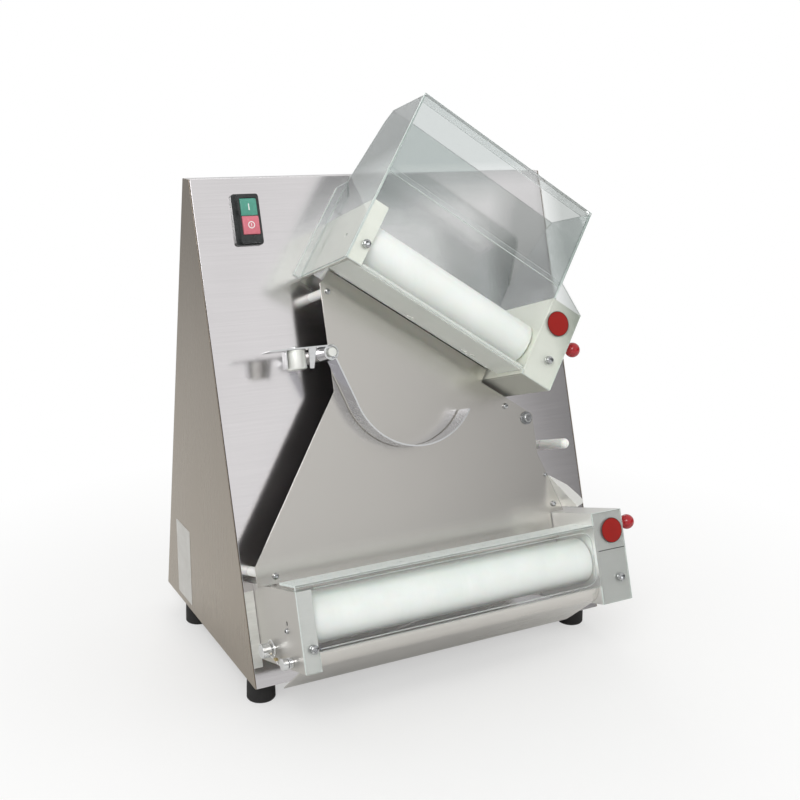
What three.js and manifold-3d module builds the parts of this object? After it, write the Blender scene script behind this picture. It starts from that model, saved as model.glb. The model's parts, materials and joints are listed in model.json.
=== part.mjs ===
import * as THREE from "three";
import { mergeVertices } from "three/addons/utils/BufferGeometryUtils.js";
import Module from "manifold-3d";

const wasm = await Module();
wasm.setup();

// Driving dimensions of the cabinet, in millimetres
const bodyWidth = 530;
const bodyHeight = 645;
const bodyDepth = 364;
const topDepth = 23;
const faceSetback = 196;
const sideSheet = 1.5;
const faceSheet = 2;
const footHeight = 33;
const footRadius = 19;
const footChamfer = 2;
const footFrontInset = 36;
const footBackInset = 79;
const footSideInset = 21;

// Clearances: between pieces that meet or run in each other, round a belt in its slot, and past a cut
const gap = 0.3;
const slotMargin = 3;
const overrun = 2;

// Vents and mains gland of the back cover
const ventRows = 4;
const ventPitch = 16;
const ventHeight = 5;
const ventLength = 130;
const ventOut = 110;
const ventUp = 430;
const glandInset = 75;
const glandUp = 60;
const glandNeck = 9;
const glandHead = 13;
const glandNut = 6;
const glandLength = 20;
const glandBore = 5;
const glandBoreDepth = 12;

// Push-button switch
const switchInset = 70.5;
const switchDrop = 54.6;
const switchWidth = 40;
const switchHeight = 66;
const switchDepth = 12;
const switchFloor = 2.5;
const buttonWidth = 22;
const buttonHeight = 20;
const buttonTravel = 3;
const startButtonRise = 15;
const startButtonProud = 1;
const stopButtonDrop = 8;
const stopButtonProud = 2.5;

// Sizes that both roller units share
const unitDepth = 145;
const guardWall = 3;
const plateWall = 3;
const flangeWidth = 20;
const lipWidth = 20;
const rollerRadius = 30;
const rollerNip = 2.5;
const rollerEdge = 3;
const rollerEndGap = 1;
const frontRollerOut = 103;
const backShaftRadius = 10;
const frontShaftRadius = 8;
const bossRadius = 16;
const bossLength = 9;
const sightHoleRadius = 3;
const coverDepth = 47;
const coverWall = 2;
const gearFace = 12;
const gearTeeth = 16;
const toothHeight = 5;
const rootShare = 0.22;
const tipShare = 0.1;
const hubLength = 2;
const grooveMargin = 1.5;
const scraperSheet = 1.5;
const scraperWidth = 26;
const scraperAngle = 70;

// Bearing blocks of the front rollers, and the lever, cam and knob that set their gap
const blockHeight = 26;
const blockLength = 30;
const blockTravel = 2;
const railWall = 4;
const yokeSheet = 4;
const yokeRim = 5;
const camRadius = 7;
const leverSwing = 20;
const leverRise = 42;
const leverReach = 28;
const leverThickness = 4;
const leverHub = 9;
const leverTipRadius = 6;
const camShaftRadius = 5;
const pinRadius = 3;
const collarLength = 2;
const knobNeck = 1;
const knobNeckRadius = 5;
const knobRadius = 10;

// Upper unit, askew on the face, with its clear hopper and under guard
const upperChamber = 256;
const upperTilt = 35;
const upperLeft = -128.5;
const upperBottom = 510;
const upperRollerUp = 40;
const upperPlateHeight = 84;
const upperBoxBottom = -5;
const upperBoxTop = 108;
const upperLeverAngle = -30;
const hopperHeight = 242;
const hopperShoulder = 24;
const hopperBend = 150;
const hopperRearUp = 236;
const hopperRearOut = 35;
const hopperPeak = 250;
const hopperPeakOut = 48;
const underBack = 87;
const underLip = 6;

// Lower unit with its clear front guard and rounded tray
const lowerChamber = 403;
const lowerLeft = -250.5;
const lowerBottom = 35.5;
const lowerRollerUp = 55;
const lowerPlateHeight = 95;
const lowerBoxBottom = -2;
const lowerBoxTop = 118;
const lowerLeverAngle = 0;
const guardTop = 103;
const guardBottom = 22;
const trayBend = 22;
const trayTurnAngle = 66;
const trayBack = 55;
const traySheet = 1.5;

// Slide plate, its fin, posts and guide pin, in the face's plane
const slideOut = 50;
const slideSheet = 1.5;
const slideGap = 1;
const slideLeft = -128;
const slideTop = 494;
const slideTopIn = 12;
const slideNeck = 356;
const slideFlare = 155;
const slideFootLeft = -262.5;
const slideBoxNotch = 11;
const slideBoxGap = 3;
const slideFootRight = 193;
const slideWaistX = 175;
const slideWaistUp = 205;
const slideHip = 238;
const slideRight = 163;
const tongueReach = 12;
const tongueDrop = 11;
const postRadius = 6;
const upperPostX = -119;
const upperPostUp = 482.7;
const lowerPostX = -250;
const lowerPostUp = 146;
const rightPostX = 152;
const rightPostUp = 288;
const finHeight = 36;
const finFlange = 10;
const guidePinX = 208.8;
const guidePinUp = 245.3;
const guidePinRadius = 6.5;
const guidePinLength = 59;

// Balance arm on its pivot post
const armPivotX = -138;
const armPivotUp = 403.5;
const armPostRadius = 8;
const armJournalRadius = 5;
const armPostCap = 7;
const armCapLength = 6;
const armHubRadius = 10;
const armBack = 55;
const armFront = 82;
const armSheet = 2;
const bladeReach = 80.7;
const bladeRise = 7.5;
const bandX = -26;
const bandUp = 363;
const bandRadius = 89;
const bandStartAngle = 195;
const bandEndAngle = 325;
const weightRadius = 13.5;
const weightHeight = 24;
const weightReach = 46.5;
const tabReach = 24;
const tabHeight = 24;

// Retaining knob and lock stud on the left cheek of the lower unit
const retainerUp = 19.5;
const retainerOut = 50;
const retainerRadius = 9;
const retainerLength = 12;
const retainerCollar = 7;
const retainerCollarLength = 6;
const studOut = 106;
const studUp = 10;
const studRadius = 5;
const studLength = 14;

// Drive inside the cabinet: gearmotor, drive shaft, countershaft and belts
const driveUp = 160;
const driveBack = 125;
const counterBack = 85;
const motorRadius = 62;
const motorLength = 190;
const motorNose = 14;
const reducerSize = 96;
const reducerRight = 130;
const terminalWidth = 80;
const terminalHeight = 26;
const bracketWall = 4;
const bracketDepth = 120;
const driveShaftRadius = 8;
const beltWidth = 10;
const beltThickness = 3;
const beltPulleyRadius = 20;
const pulleyRim = 2;
const riserX = 176;
const counterShaftRadius = 8;
const counterPlate = 3;
const counterMargin = 12;
const counterArmHalf = 20;
const roundBeltRadius = 4;
const roundBeltPitch = 22;

// Lines of the wedge-shaped cabinet, worked out from the sizes above
const faceRise = bodyHeight - footHeight;
const lean = Math.atan2(faceSetback, faceRise);
const faceLength = Math.hypot(faceSetback, faceRise);
const backRun = bodyDepth - faceSetback - topDepth;
const backLean = Math.atan2(backRun, faceRise);
const backLength = Math.hypot(backRun, faceRise);
const innerHalf = bodyWidth / 2 - sideSheet;
const glandSide = bodyWidth / 2 - glandInset;
const switchX = switchInset - bodyWidth / 2;
const switchUp = faceLength - switchDrop;
const metalFront = unitDepth - guardWall - gap;
const camThrow = blockTravel / Math.sin(THREE.MathUtils.degToRad(leverSwing));
const backRollerOut = frontRollerOut - 2 * rollerRadius - rollerNip;

function paint(color, roughness, metalness, opacity = 1) {
  return new THREE.MeshStandardMaterial({ color, roughness, metalness, opacity, transparent: opacity < 1 });
}

const brushedSteel = paint(0xc9c8c6, 0.35, 1);
const polishedSteel = paint(0xd4d4d2, 0.2, 1);
const machinedSteel = paint(0x9c9c9a, 0.4, 1);
const castAluminium = paint(0xb4b6b8, 0.5, 0.9);
const whiteNylon = paint(0xf1f2ef, 0.45, 0);
const clearPlastic = paint(0xdfe9e6, 0.08, 0, 0.35);
const blackRubber = paint(0x1b1b1b, 0.85, 0);
const beltRubber = paint(0x222222, 0.8, 0);
const blackPlastic = paint(0x2f3431, 0.5, 0);
const greenPlastic = paint(0x2f8f72, 0.4, 0);
const redPlastic = paint(0xd8455a, 0.4, 0);
const knobPlastic = paint(0xc02a36, 0.3, 0);
const motorPaint = paint(0x3c4f63, 0.5, 0.3);

const machine = new THREE.Group();

// A group with its own axes, placed in a parent group
function framed(parent, origin, xAxis, yAxis, zAxis) {
  const group = new THREE.Group();
  group.quaternion.setFromRotationMatrix(new THREE.Matrix4().makeBasis(xAxis, yAxis, zAxis));
  group.position.copy(origin);
  parent.add(group);
  return group;
}

const vector = (x, y, z) => new THREE.Vector3(x, y, z);

// The face frame: x to the right, y up the sloped face, z straight out of it
const faceUp = vector(0, Math.sin(lean), Math.cos(lean));
const faceOut = vector(0, -Math.cos(lean), Math.sin(lean));
const face = framed(machine, vector(0, 0, footHeight), vector(1, 0, 0), faceUp, faceOut);

// The back frame: x to the left, y up the back, z straight out of it
const backUp = vector(0, -Math.sin(backLean), Math.cos(backLean));
const backOut = vector(0, Math.cos(backLean), Math.sin(backLean));
const back = framed(machine, vector(0, bodyDepth, footHeight), vector(-1, 0, 0), backUp, backOut);

// The roller units' frames: x along the rollers, y across them in the face's plane, z out of the face
const tilt = THREE.MathUtils.degToRad(upperTilt);
const upperAlong = vector(Math.cos(tilt), -Math.sin(tilt), 0);
const upperAcross = vector(Math.sin(tilt), Math.cos(tilt), 0);
const upperPlace = vector(upperLeft, upperBottom, 0);
const lowerPlace = vector(lowerLeft, lowerBottom, 0);
const upperUnit = framed(face, upperPlace, upperAlong, upperAcross, vector(0, 0, 1));
const lowerUnit = framed(face, lowerPlace, vector(1, 0, 0), vector(0, 1, 0), vector(0, 0, 1));

// A point of the upper unit's plane, given in the face's plane
function upperToFace(along, across) {
  return [
    upperLeft + along * Math.cos(tilt) + across * Math.sin(tilt),
    upperBottom - along * Math.sin(tilt) + across * Math.cos(tilt),
  ];
}

// A point of the face frame's side view, as [y, z] of the machine
function sideView(up, out) {
  return [
    up * Math.sin(lean) - out * Math.cos(lean),
    footHeight + up * Math.cos(lean) + out * Math.sin(lean),
  ];
}

function place(parent, name, geometry, material) {
  const mesh = new THREE.Mesh(geometry, material);
  mesh.name = name;
  parent.add(mesh);
  return mesh;
}

function box(x0, x1, y0, y1, z0, z1) {
  const geometry = new THREE.BoxGeometry(x1 - x0, y1 - y0, z1 - z0);
  return geometry.translate((x0 + x1) / 2, (y0 + y1) / 2, (z0 + z1) / 2);
}

function outline(points, holes = []) {
  const shape = new THREE.Shape(points.map(([u, v]) => new THREE.Vector2(u, v)));
  shape.holes.push(...holes);
  return shape;
}

function roundHole(u, v, radius) {
  return new THREE.Path().absarc(u, v, radius, 0, 2 * Math.PI, true);
}

function squareHole(u0, u1, v0, v1) {
  return new THREE.Path([[u0, v0], [u0, v1], [u1, v1], [u1, v0]].map(([u, v]) => new THREE.Vector2(u, v)));
}

// Plates cut from an outline: across x in [y, z], across y in [z, x] and across z in [x, y]
function plateX(shape, x0, x1, curveSegments = 8) {
  const geometry = new THREE.ExtrudeGeometry(shape, { depth: x1 - x0, bevelEnabled: false, curveSegments });
  geometry.applyMatrix4(new THREE.Matrix4().makeBasis(vector(0, 1, 0), vector(0, 0, 1), vector(1, 0, 0)));
  return geometry.translate(x0, 0, 0);
}

function plateY(shape, y0, y1, curveSegments = 8) {
  const geometry = new THREE.ExtrudeGeometry(shape, { depth: y1 - y0, bevelEnabled: false, curveSegments });
  geometry.applyMatrix4(new THREE.Matrix4().makeBasis(vector(0, 0, 1), vector(1, 0, 0), vector(0, 1, 0)));
  return geometry.translate(0, y0, 0);
}

function plateZ(shape, z0, z1, curveSegments = 8) {
  const geometry = new THREE.ExtrudeGeometry(shape, { depth: z1 - z0, bevelEnabled: false, curveSegments });
  return geometry.translate(0, 0, z0);
}

// Turned pieces: a profile of [place, radius] pairs about an axis along x, y or z
function turnedX(profile, y, z, sides = 20) {
  const points = profile.map(([along, radius]) => new THREE.Vector2(radius, along));
  return new THREE.LatheGeometry(points, sides).rotateZ(-Math.PI / 2).translate(0, y, z);
}

function turnedY(profile, x, z, sides = 20) {
  const points = profile.map(([along, radius]) => new THREE.Vector2(radius, along));
  return new THREE.LatheGeometry(points, sides).translate(x, 0, z);
}

function turnedZ(profile, x, y, sides = 20) {
  const points = profile.map(([along, radius]) => new THREE.Vector2(radius, along));
  return new THREE.LatheGeometry(points, sides).rotateX(Math.PI / 2).translate(x, y, 0);
}

const rod = (from, to, radius) => [[from, 0], [from, radius], [to, radius], [to, 0]];
const ring = (from, to, inner, outer) => [
  [from, inner],
  [from, outer],
  [to, outer],
  [to, inner],
  [from, inner],
];

// Joins and cuts, from closed geometries
function toSolid(geometry) {
  const plain = geometry.clone();
  plain.deleteAttribute("normal");
  plain.deleteAttribute("uv");
  const merged = mergeVertices(plain, gap / 100);
  const vertProperties = new Float32Array(merged.attributes.position.array);
  const triVerts = new Uint32Array(merged.index.array);
  return new wasm.Manifold(new wasm.Mesh({ numProp: 3, vertProperties, triVerts }));
}

function fromSolid(solid) {
  const { vertProperties, triVerts } = solid.getMesh();
  const geometry = new THREE.BufferGeometry();
  geometry.setAttribute("position", new THREE.BufferAttribute(new Float32Array(vertProperties), 3));
  geometry.setIndex(new THREE.BufferAttribute(new Uint32Array(triVerts), 1));
  geometry.computeVertexNormals();
  return geometry;
}

function joined(first, ...others) {
  return fromSolid(others.reduce((solid, other) => solid.add(toSolid(other)), toSolid(first)));
}

function cut(first, ...others) {
  return fromSolid(others.reduce((solid, other) => solid.subtract(toSolid(other)), toSolid(first)));
}

// A strip of sheet that follows a path of [u, v] points, as an outline with the sheet's thickness
function stripOutline(path, thickness) {
  const offset = path.map((point, index) => {
    const before = path[Math.max(index - 1, 0)];
    const after = path[Math.min(index + 1, path.length - 1)];
    const length = Math.hypot(after[0] - before[0], after[1] - before[1]);
    const step = [(after[0] - before[0]) / length, (after[1] - before[1]) / length];
    return [point[0] + step[1] * thickness, point[1] - step[0] * thickness];
  });
  return outline([...path, ...offset.reverse()]);
}

function arcPoints(centreU, centreV, radius, from, to, steps) {
  const points = [];
  for (let index = 0; index <= steps; index += 1) {
    const angle = THREE.MathUtils.degToRad(from + ((to - from) * index) / steps);
    points.push([centreU + radius * Math.cos(angle), centreV + radius * Math.sin(angle)]);
  }
  return points;
}

// Two side panels, a folded face sheet, base, back cover and four feet
function makeCabinet() {
  const side = outline([
    [0, footHeight],
    [bodyDepth, footHeight],
    [faceSetback + topDepth, bodyHeight],
    [faceSetback, bodyHeight],
  ]);
  place(machine, "left_side_panel", plateX(side, -bodyWidth / 2, -innerHalf), brushedSteel);
  place(machine, "right_side_panel", plateX(side, innerHalf, bodyWidth / 2), brushedSteel);

  const half = innerHalf - gap;
  const frontGap = faceSheet / Math.cos(lean) + sideSheet * Math.tan(lean) + gap;
  const rearGap = sideSheet / Math.cos(backLean) + sideSheet * Math.tan(backLean) + gap;
  const base = box(-half, half, frontGap, bodyDepth - rearGap, footHeight, footHeight + sideSheet);
  place(machine, "base_plate", base, brushedSteel);
  makeFace(half);
  makeBackCover(half);
  makeFeet();
}

// The face sheet is folded back over the top of the cabinet
function makeFace(half) {
  const sheet = outline(
    [[-half, 0], [half, 0], [half, faceLength], [-half, faceLength]],
    [lowerBeltSlot(), upperBeltSlot()],
  );
  face.updateMatrix();
  const sloped = plateZ(sheet, -faceSheet, 0).applyMatrix4(face.matrix);
  const capShare = 1 - sideSheet / faceRise;
  const cap = outline([
    [faceSetback * capShare, bodyHeight - sideSheet],
    [bodyDepth - backRun * capShare, bodyHeight - sideSheet],
    [faceSetback + topDepth, bodyHeight],
    [faceSetback, bodyHeight],
  ]);
  place(machine, "face_plate", joined(sloped, plateX(cap, -half, half)), brushedSteel);
}

// The back cover has two columns of vents and a hole for the mains gland
function makeBackCover(half) {
  const top = backLength - (sideSheet + gap) / Math.cos(backLean);
  const sheet = outline(
    [[-half, 0], [half, 0], [half, top], [-half, top]],
    [roundHole(glandSide, glandUp, glandNeck + gap)],
  );
  const vents = [];
  for (let row = 0; row < ventRows; row += 1) {
    for (const middle of [-ventOut, ventOut]) {
      const [left, low] = [middle - ventLength / 2, ventUp + row * ventPitch];
      vents.push(box(left, left + ventLength, low, low + ventHeight, -sideSheet - overrun, overrun));
    }
  }
  place(back, "back_cover", cut(plateZ(sheet, -sideSheet, 0), ...vents), brushedSteel);

  const nutFront = -sideSheet - gap;
  const gland = [
    [nutFront - glandNut, 0],
    [nutFront - glandNut, glandHead],
    [nutFront, glandHead],
    [nutFront, glandNeck],
    [gap, glandNeck],
    [gap, glandHead],
    [glandLength / 2, glandHead],
    [glandLength, glandNeck],
    [glandLength, glandBore],
    [glandLength - glandBoreDepth, glandBore],
    [glandLength - glandBoreDepth, 0],
  ];
  place(back, "cable_gland", turnedZ(gland, glandSide, glandUp, 18), blackPlastic);
}

function makeFeet() {
  const across = bodyWidth / 2 - footSideInset;
  const places = {
    front_left_foot: [-across, footFrontInset],
    front_right_foot: [across, footFrontInset],
    back_left_foot: [-across, bodyDepth - footBackInset],
    back_right_foot: [across, bodyDepth - footBackInset],
  };
  const profile = [
    [0, 0],
    [0, footRadius - footChamfer],
    [footChamfer, footRadius],
    [footHeight - gap, footRadius],
    [footHeight - gap, 0],
  ];
  for (const [name, [x, y]] of Object.entries(places)) {
    place(machine, name, turnedZ(profile, x, y), blackRubber);
  }
}

// Push-button switch with a green start button above a red stop button, each in its own well
function makeSwitch() {
  const well = (up) => box(
    switchX - buttonWidth / 2 - gap,
    switchX + buttonWidth / 2 + gap,
    up - buttonHeight / 2 - gap,
    up + buttonHeight / 2 + gap,
    switchFloor,
    switchDepth + overrun,
  );
  const button = (up, proud) => box(
    switchX - buttonWidth / 2,
    switchX + buttonWidth / 2,
    up - buttonHeight / 2,
    up + buttonHeight / 2,
    switchFloor + buttonTravel + gap,
    switchDepth + proud,
  );
  const startUp = switchUp + startButtonRise;
  const stopUp = switchUp - stopButtonDrop;
  const frame = box(
    switchX - switchWidth / 2,
    switchX + switchWidth / 2,
    switchUp - switchHeight / 2,
    switchUp + switchHeight / 2,
    gap,
    switchDepth,
  );
  place(face, "switch_housing", cut(frame, well(startUp), well(stopUp)), blackPlastic);
  place(face, "start_button", button(startUp, startButtonProud), greenPlastic);
  place(face, "stop_button", button(stopUp, stopButtonProud), redPlastic);
}

// Where a unit's pieces lie along its rollers
function stations(chamber) {
  const inner = flangeWidth + chamber;
  const gearStart = inner + plateWall + bossLength;
  const gearEnd = gearStart + gearFace;
  const pulleyStart = gearEnd + hubLength;
  const pulleyEnd = pulleyStart + beltWidth + 2 * pulleyRim;
  return {
    inner,
    end: inner + coverDepth,
    gearStart,
    gearEnd,
    pulleyStart,
    pulleyEnd,
    beltMiddle: (pulleyStart + pulleyEnd) / 2,
  };
}

const upper = {
  name: "upper",
  group: upperUnit,
  at: stations(upperChamber),
  rollerUp: upperRollerUp,
  plateHeight: upperPlateHeight,
  boxBottom: upperBoxBottom,
  boxTop: upperBoxTop,
  leverAngle: upperLeverAngle,
};
const lower = {
  name: "lower",
  group: lowerUnit,
  at: stations(lowerChamber),
  rollerUp: lowerRollerUp,
  plateHeight: lowerPlateHeight,
  boxBottom: lowerBoxBottom,
  boxTop: lowerBoxTop,
  leverAngle: lowerLeverAngle,
};
const lowerPulleyX = lowerLeft + lower.at.beltMiddle;
const lowerPulleyUp = lowerBottom + lowerRollerUp;
const [upperPulleyX, upperPulleyUp] = upperToFace(upper.at.beltMiddle, upperRollerUp);

// The flat belt to the lower unit passes the face sheet aslant
function lowerBeltSlot() {
  const run = backRollerOut + driveBack;
  const rise = driveUp - lowerPulleyUp;
  const middle = lowerPulleyUp + (rise * backRollerOut) / run;
  const half = beltWidth / 2 + slotMargin;
  const tall = ((beltPulleyRadius + beltThickness) * Math.hypot(run, rise)) / run + slotMargin;
  return squareHole(lowerPulleyX - half, lowerPulleyX + half, middle - tall, middle + tall);
}

// The slot for the round belt lies askew, like the unit. Part of the belt's twist is made where it passes
const beltSway = (roundBeltPitch * Math.sin(tilt) * backRollerOut) / (backRollerOut + counterBack);
const beltSlotHalf = beltSway + roundBeltRadius + slotMargin;
const beltSlotTall = roundBeltPitch + roundBeltRadius + slotMargin;

function upperBeltSlot() {
  const corners = [
    [-beltSlotHalf, -beltSlotTall],
    [-beltSlotHalf, beltSlotTall],
    [beltSlotHalf, beltSlotTall],
    [beltSlotHalf, -beltSlotTall],
  ];
  const path = corners.map(([along, across]) => {
    const [x, up] = upperToFace(upper.at.beltMiddle + along, upperRollerUp + across);
    return new THREE.Vector2(x, up);
  });
  return new THREE.Path(path);
}

// One roller unit: cheek plates, rollers, gears, bearing blocks, gap lever with its knob, cover and scraper
function makeRollerUnit(unit) {
  const leverUp = unit.rollerUp + leverRise;
  makeCheeks(unit);
  makeGearCover(unit, leverUp);
  makeRollers(unit);
  makeGears(unit);
  makeBlocks(unit, leverUp);
  makeLever(unit, leverUp);
  makeScraper(unit);
}

// Each cheek has a boss for the back roller's shaft. The left one has rails for its bearing block
function makeCheeks({ group, name, at, rollerUp, plateHeight, boxBottom, boxTop }) {
  const boss = (from) => turnedX(
    ring(from, from + bossLength, backShaftRadius + gap, bossRadius),
    rollerUp,
    backRollerOut,
  );
  const blockHalf = blockHeight / 2 + gap;
  const slideHalf = blockLength / 2 + blockTravel + gap;
  const leftSide = outline(
    [[0, gap], [plateHeight, gap], [plateHeight, metalFront], [0, metalFront]],
    [roundHole(rollerUp, frontRollerOut, sightHoleRadius)],
  );
  if (name === "lower") {
    leftSide.holes.push(roundHole(retainerUp, retainerOut, pinRadius + gap));
  }
  const flange = box(0, flangeWidth, 0, plateHeight, metalFront - plateWall, metalFront);
  const rail = (low) => box(
    plateWall - gap,
    plateWall + bossLength,
    low,
    low + railWall,
    frontRollerOut - slideHalf,
    frontRollerOut + slideHalf,
  );
  const left = joined(
    plateX(leftSide, 0, plateWall),
    flange,
    boss(plateWall - gap),
    rail(rollerUp - blockHalf - railWall),
    rail(rollerUp + blockHalf),
  );
  place(group, `${name}_left_cheek`, left, brushedSteel);

  const blockWindow = squareHole(
    rollerUp - blockHalf,
    rollerUp + blockHalf,
    frontRollerOut - slideHalf,
    frontRollerOut + slideHalf,
  );
  const rightSide = outline(
    [[boxBottom, gap], [boxTop, gap], [boxTop, metalFront], [boxBottom, metalFront]],
    [roundHole(rollerUp, backRollerOut, backShaftRadius + gap), blockWindow],
  );
  const right = joined(plateX(rightSide, at.inner, at.inner + plateWall), boss(at.inner + plateWall - gap));
  place(group, `${name}_right_cheek`, right, brushedSteel);
}

// The lever tip's place for a turn from rest, across the rollers and out of the face
function leverTip(unit, leverUp, turn) {
  const angle = THREE.MathUtils.degToRad(unit.leverAngle + turn);
  return [leverUp + leverReach * Math.sin(angle), frontRollerOut + leverReach * Math.cos(angle)];
}

function makeGearCover(unit, leverUp) {
  const { at, boxBottom, boxTop } = unit;
  const start = at.inner + plateWall + gap;
  const shell = box(start, at.end, boxBottom, boxTop, gap, metalFront);
  const hollow = box(
    start - overrun,
    at.end - coverWall,
    boxBottom + coverWall,
    boxTop - coverWall,
    gap - overrun,
    metalFront - coverWall,
  );
  const drill = (radius, [across, out], sides) => turnedX(
    rod(at.end - coverWall - overrun, at.end + overrun, radius),
    across,
    out,
    sides,
  );
  const indexHoles = [-leverSwing, 0, leverSwing].map(
    (turn) => drill(pinRadius + gap, leverTip(unit, leverUp, turn), 12),
  );
  const shaftHole = drill(camShaftRadius + gap, [leverUp, frontRollerOut], 20);
  place(unit.group, `${unit.name}_gear_cover`, cut(shell, hollow, shaftHole, ...indexHoles), brushedSteel);
}

function makeRollers({ group, name, at, rollerUp }) {
  const start = flangeWidth + rollerEndGap;
  const end = at.inner - rollerEndGap;
  const roller = (shaft, shaftStart, shaftEnd) => [
    [shaftStart, 0],
    [shaftStart, shaft],
    [start, shaft],
    [start, rollerRadius - rollerEdge],
    [start + rollerEdge, rollerRadius],
    [end - rollerEdge, rollerRadius],
    [end, rollerRadius - rollerEdge],
    [end, shaft],
    [shaftEnd, shaft],
    [shaftEnd, 0],
  ];
  const backRoller = roller(backShaftRadius, plateWall + gap, at.pulleyEnd + gap);
  place(group, `${name}_back_roller`, turnedX(backRoller, rollerUp, backRollerOut, 28), whiteNylon);
  const frontRoller = roller(frontShaftRadius, plateWall + 2 * gap, at.gearEnd + gap);
  place(group, `${name}_front_roller`, turnedX(frontRoller, rollerUp, frontRollerOut, 28), whiteNylon);
}

// Straight-sided teeth with enough backlash to mesh at both ends of the blocks' travel
function gearOutline(across, out, firstTooth, bore) {
  const pitchRadius = rollerRadius + rollerNip / 2;
  const rootRadius = pitchRadius - toothHeight / 2 - blockTravel;
  const tipRadius = pitchRadius + toothHeight / 2 - 2 * gap;
  const corners = [
    [rootRadius, -rootShare],
    [tipRadius, -tipShare],
    [tipRadius, tipShare],
    [rootRadius, rootShare],
  ];
  const points = [];
  for (let tooth = 0; tooth < gearTeeth; tooth += 1) {
    for (const [radius, share] of corners) {
      const angle = THREE.MathUtils.degToRad(firstTooth + ((tooth + share) * 360) / gearTeeth);
      points.push([across + radius * Math.cos(angle), out + radius * Math.sin(angle)]);
    }
  }
  return outline(points, [roundHole(across, out, bore)]);
}

// The back roller's gear is made in one with its pulley, and drives the front roller's gear
function makeGears({ group, name, at, rollerUp }) {
  const backBore = backShaftRadius + gap;
  const gear = plateX(gearOutline(rollerUp, backRollerOut, 90, backBore), at.gearStart, at.gearEnd);
  const hub = ring(at.gearEnd - gap, at.pulleyStart + gap, backBore, bossRadius);
  const profile = name === "upper"
    ? groovedPulley(at.beltMiddle, backBore)
    : flatPulley(at.beltMiddle, backBore);
  const driven = joined(
    gear,
    turnedX(hub, rollerUp, backRollerOut),
    turnedX(profile, rollerUp, backRollerOut),
  );
  place(group, `${name}_gear_pulley`, driven, machinedSteel);

  const halfTooth = 180 / gearTeeth;
  const mating = gearOutline(rollerUp, frontRollerOut, 270 + halfTooth, frontShaftRadius + gap);
  place(group, `${name}_front_gear`, plateX(mating, at.gearStart, at.gearEnd), machinedSteel);
}

function flatPulley(middle, bore) {
  const half = beltWidth / 2 + pulleyRim;
  const rimRadius = beltPulleyRadius + beltThickness;
  return [
    [middle - half, bore],
    [middle - half, rimRadius],
    [middle - beltWidth / 2 - gap, rimRadius],
    [middle - beltWidth / 2 - gap, beltPulleyRadius],
    [middle + beltWidth / 2 + gap, beltPulleyRadius],
    [middle + beltWidth / 2 + gap, rimRadius],
    [middle + half, rimRadius],
    [middle + half, bore],
    [middle - half, bore],
  ];
}

function groovedPulley(middle, bore) {
  const half = beltWidth / 2 + pulleyRim;
  const rimRadius = roundBeltPitch;
  const grooveRadius = roundBeltPitch - roundBeltRadius - gap;
  const lip = roundBeltRadius + grooveMargin;
  return [
    [middle - half, bore],
    [middle - half, rimRadius],
    [middle - lip, rimRadius],
    [middle - lip, grooveRadius],
    [middle + lip, grooveRadius],
    [middle + lip, rimRadius],
    [middle + half, rimRadius],
    [middle + half, bore],
    [middle - half, bore],
  ];
}

// The front roller turns in two sliding blocks. The right one carries the yoke that the cam moves
function makeBlocks({ group, name, at, rollerUp }, leverUp) {
  const low = frontRollerOut - blockLength / 2;
  const high = frontRollerOut + blockLength / 2;
  const bottom = rollerUp - blockHeight / 2;
  const bore = () => roundHole(rollerUp, frontRollerOut, frontShaftRadius + gap);
  const block = () => outline(
    [[bottom, low], [bottom + blockHeight, low], [bottom + blockHeight, high], [bottom, high]],
    [bore()],
  );
  const leftBlock = plateX(block(), plateWall + gap, plateWall + bossLength);
  place(group, `${name}_left_bearing_block`, leftBlock, castAluminium);

  const camUp = leverUp - camThrow;
  const slotTop = leverUp + camShaftRadius;
  const slot = squareHole(
    camUp - camRadius - gap,
    slotTop,
    frontRollerOut - camRadius - gap,
    frontRollerOut + camRadius + gap,
  );
  const yoke = outline(
    [[bottom, low], [slotTop + yokeRim, low], [slotTop + yokeRim, high], [bottom, high]],
    [bore(), slot],
  );
  const yokeStart = at.inner + plateWall + 2 * gap;
  const right = joined(
    plateX(block(), at.inner, at.gearStart - 2 * gap),
    plateX(yoke, yokeStart, yokeStart + yokeSheet),
  );
  place(group, `${name}_right_bearing_block`, right, castAluminium);
}

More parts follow.
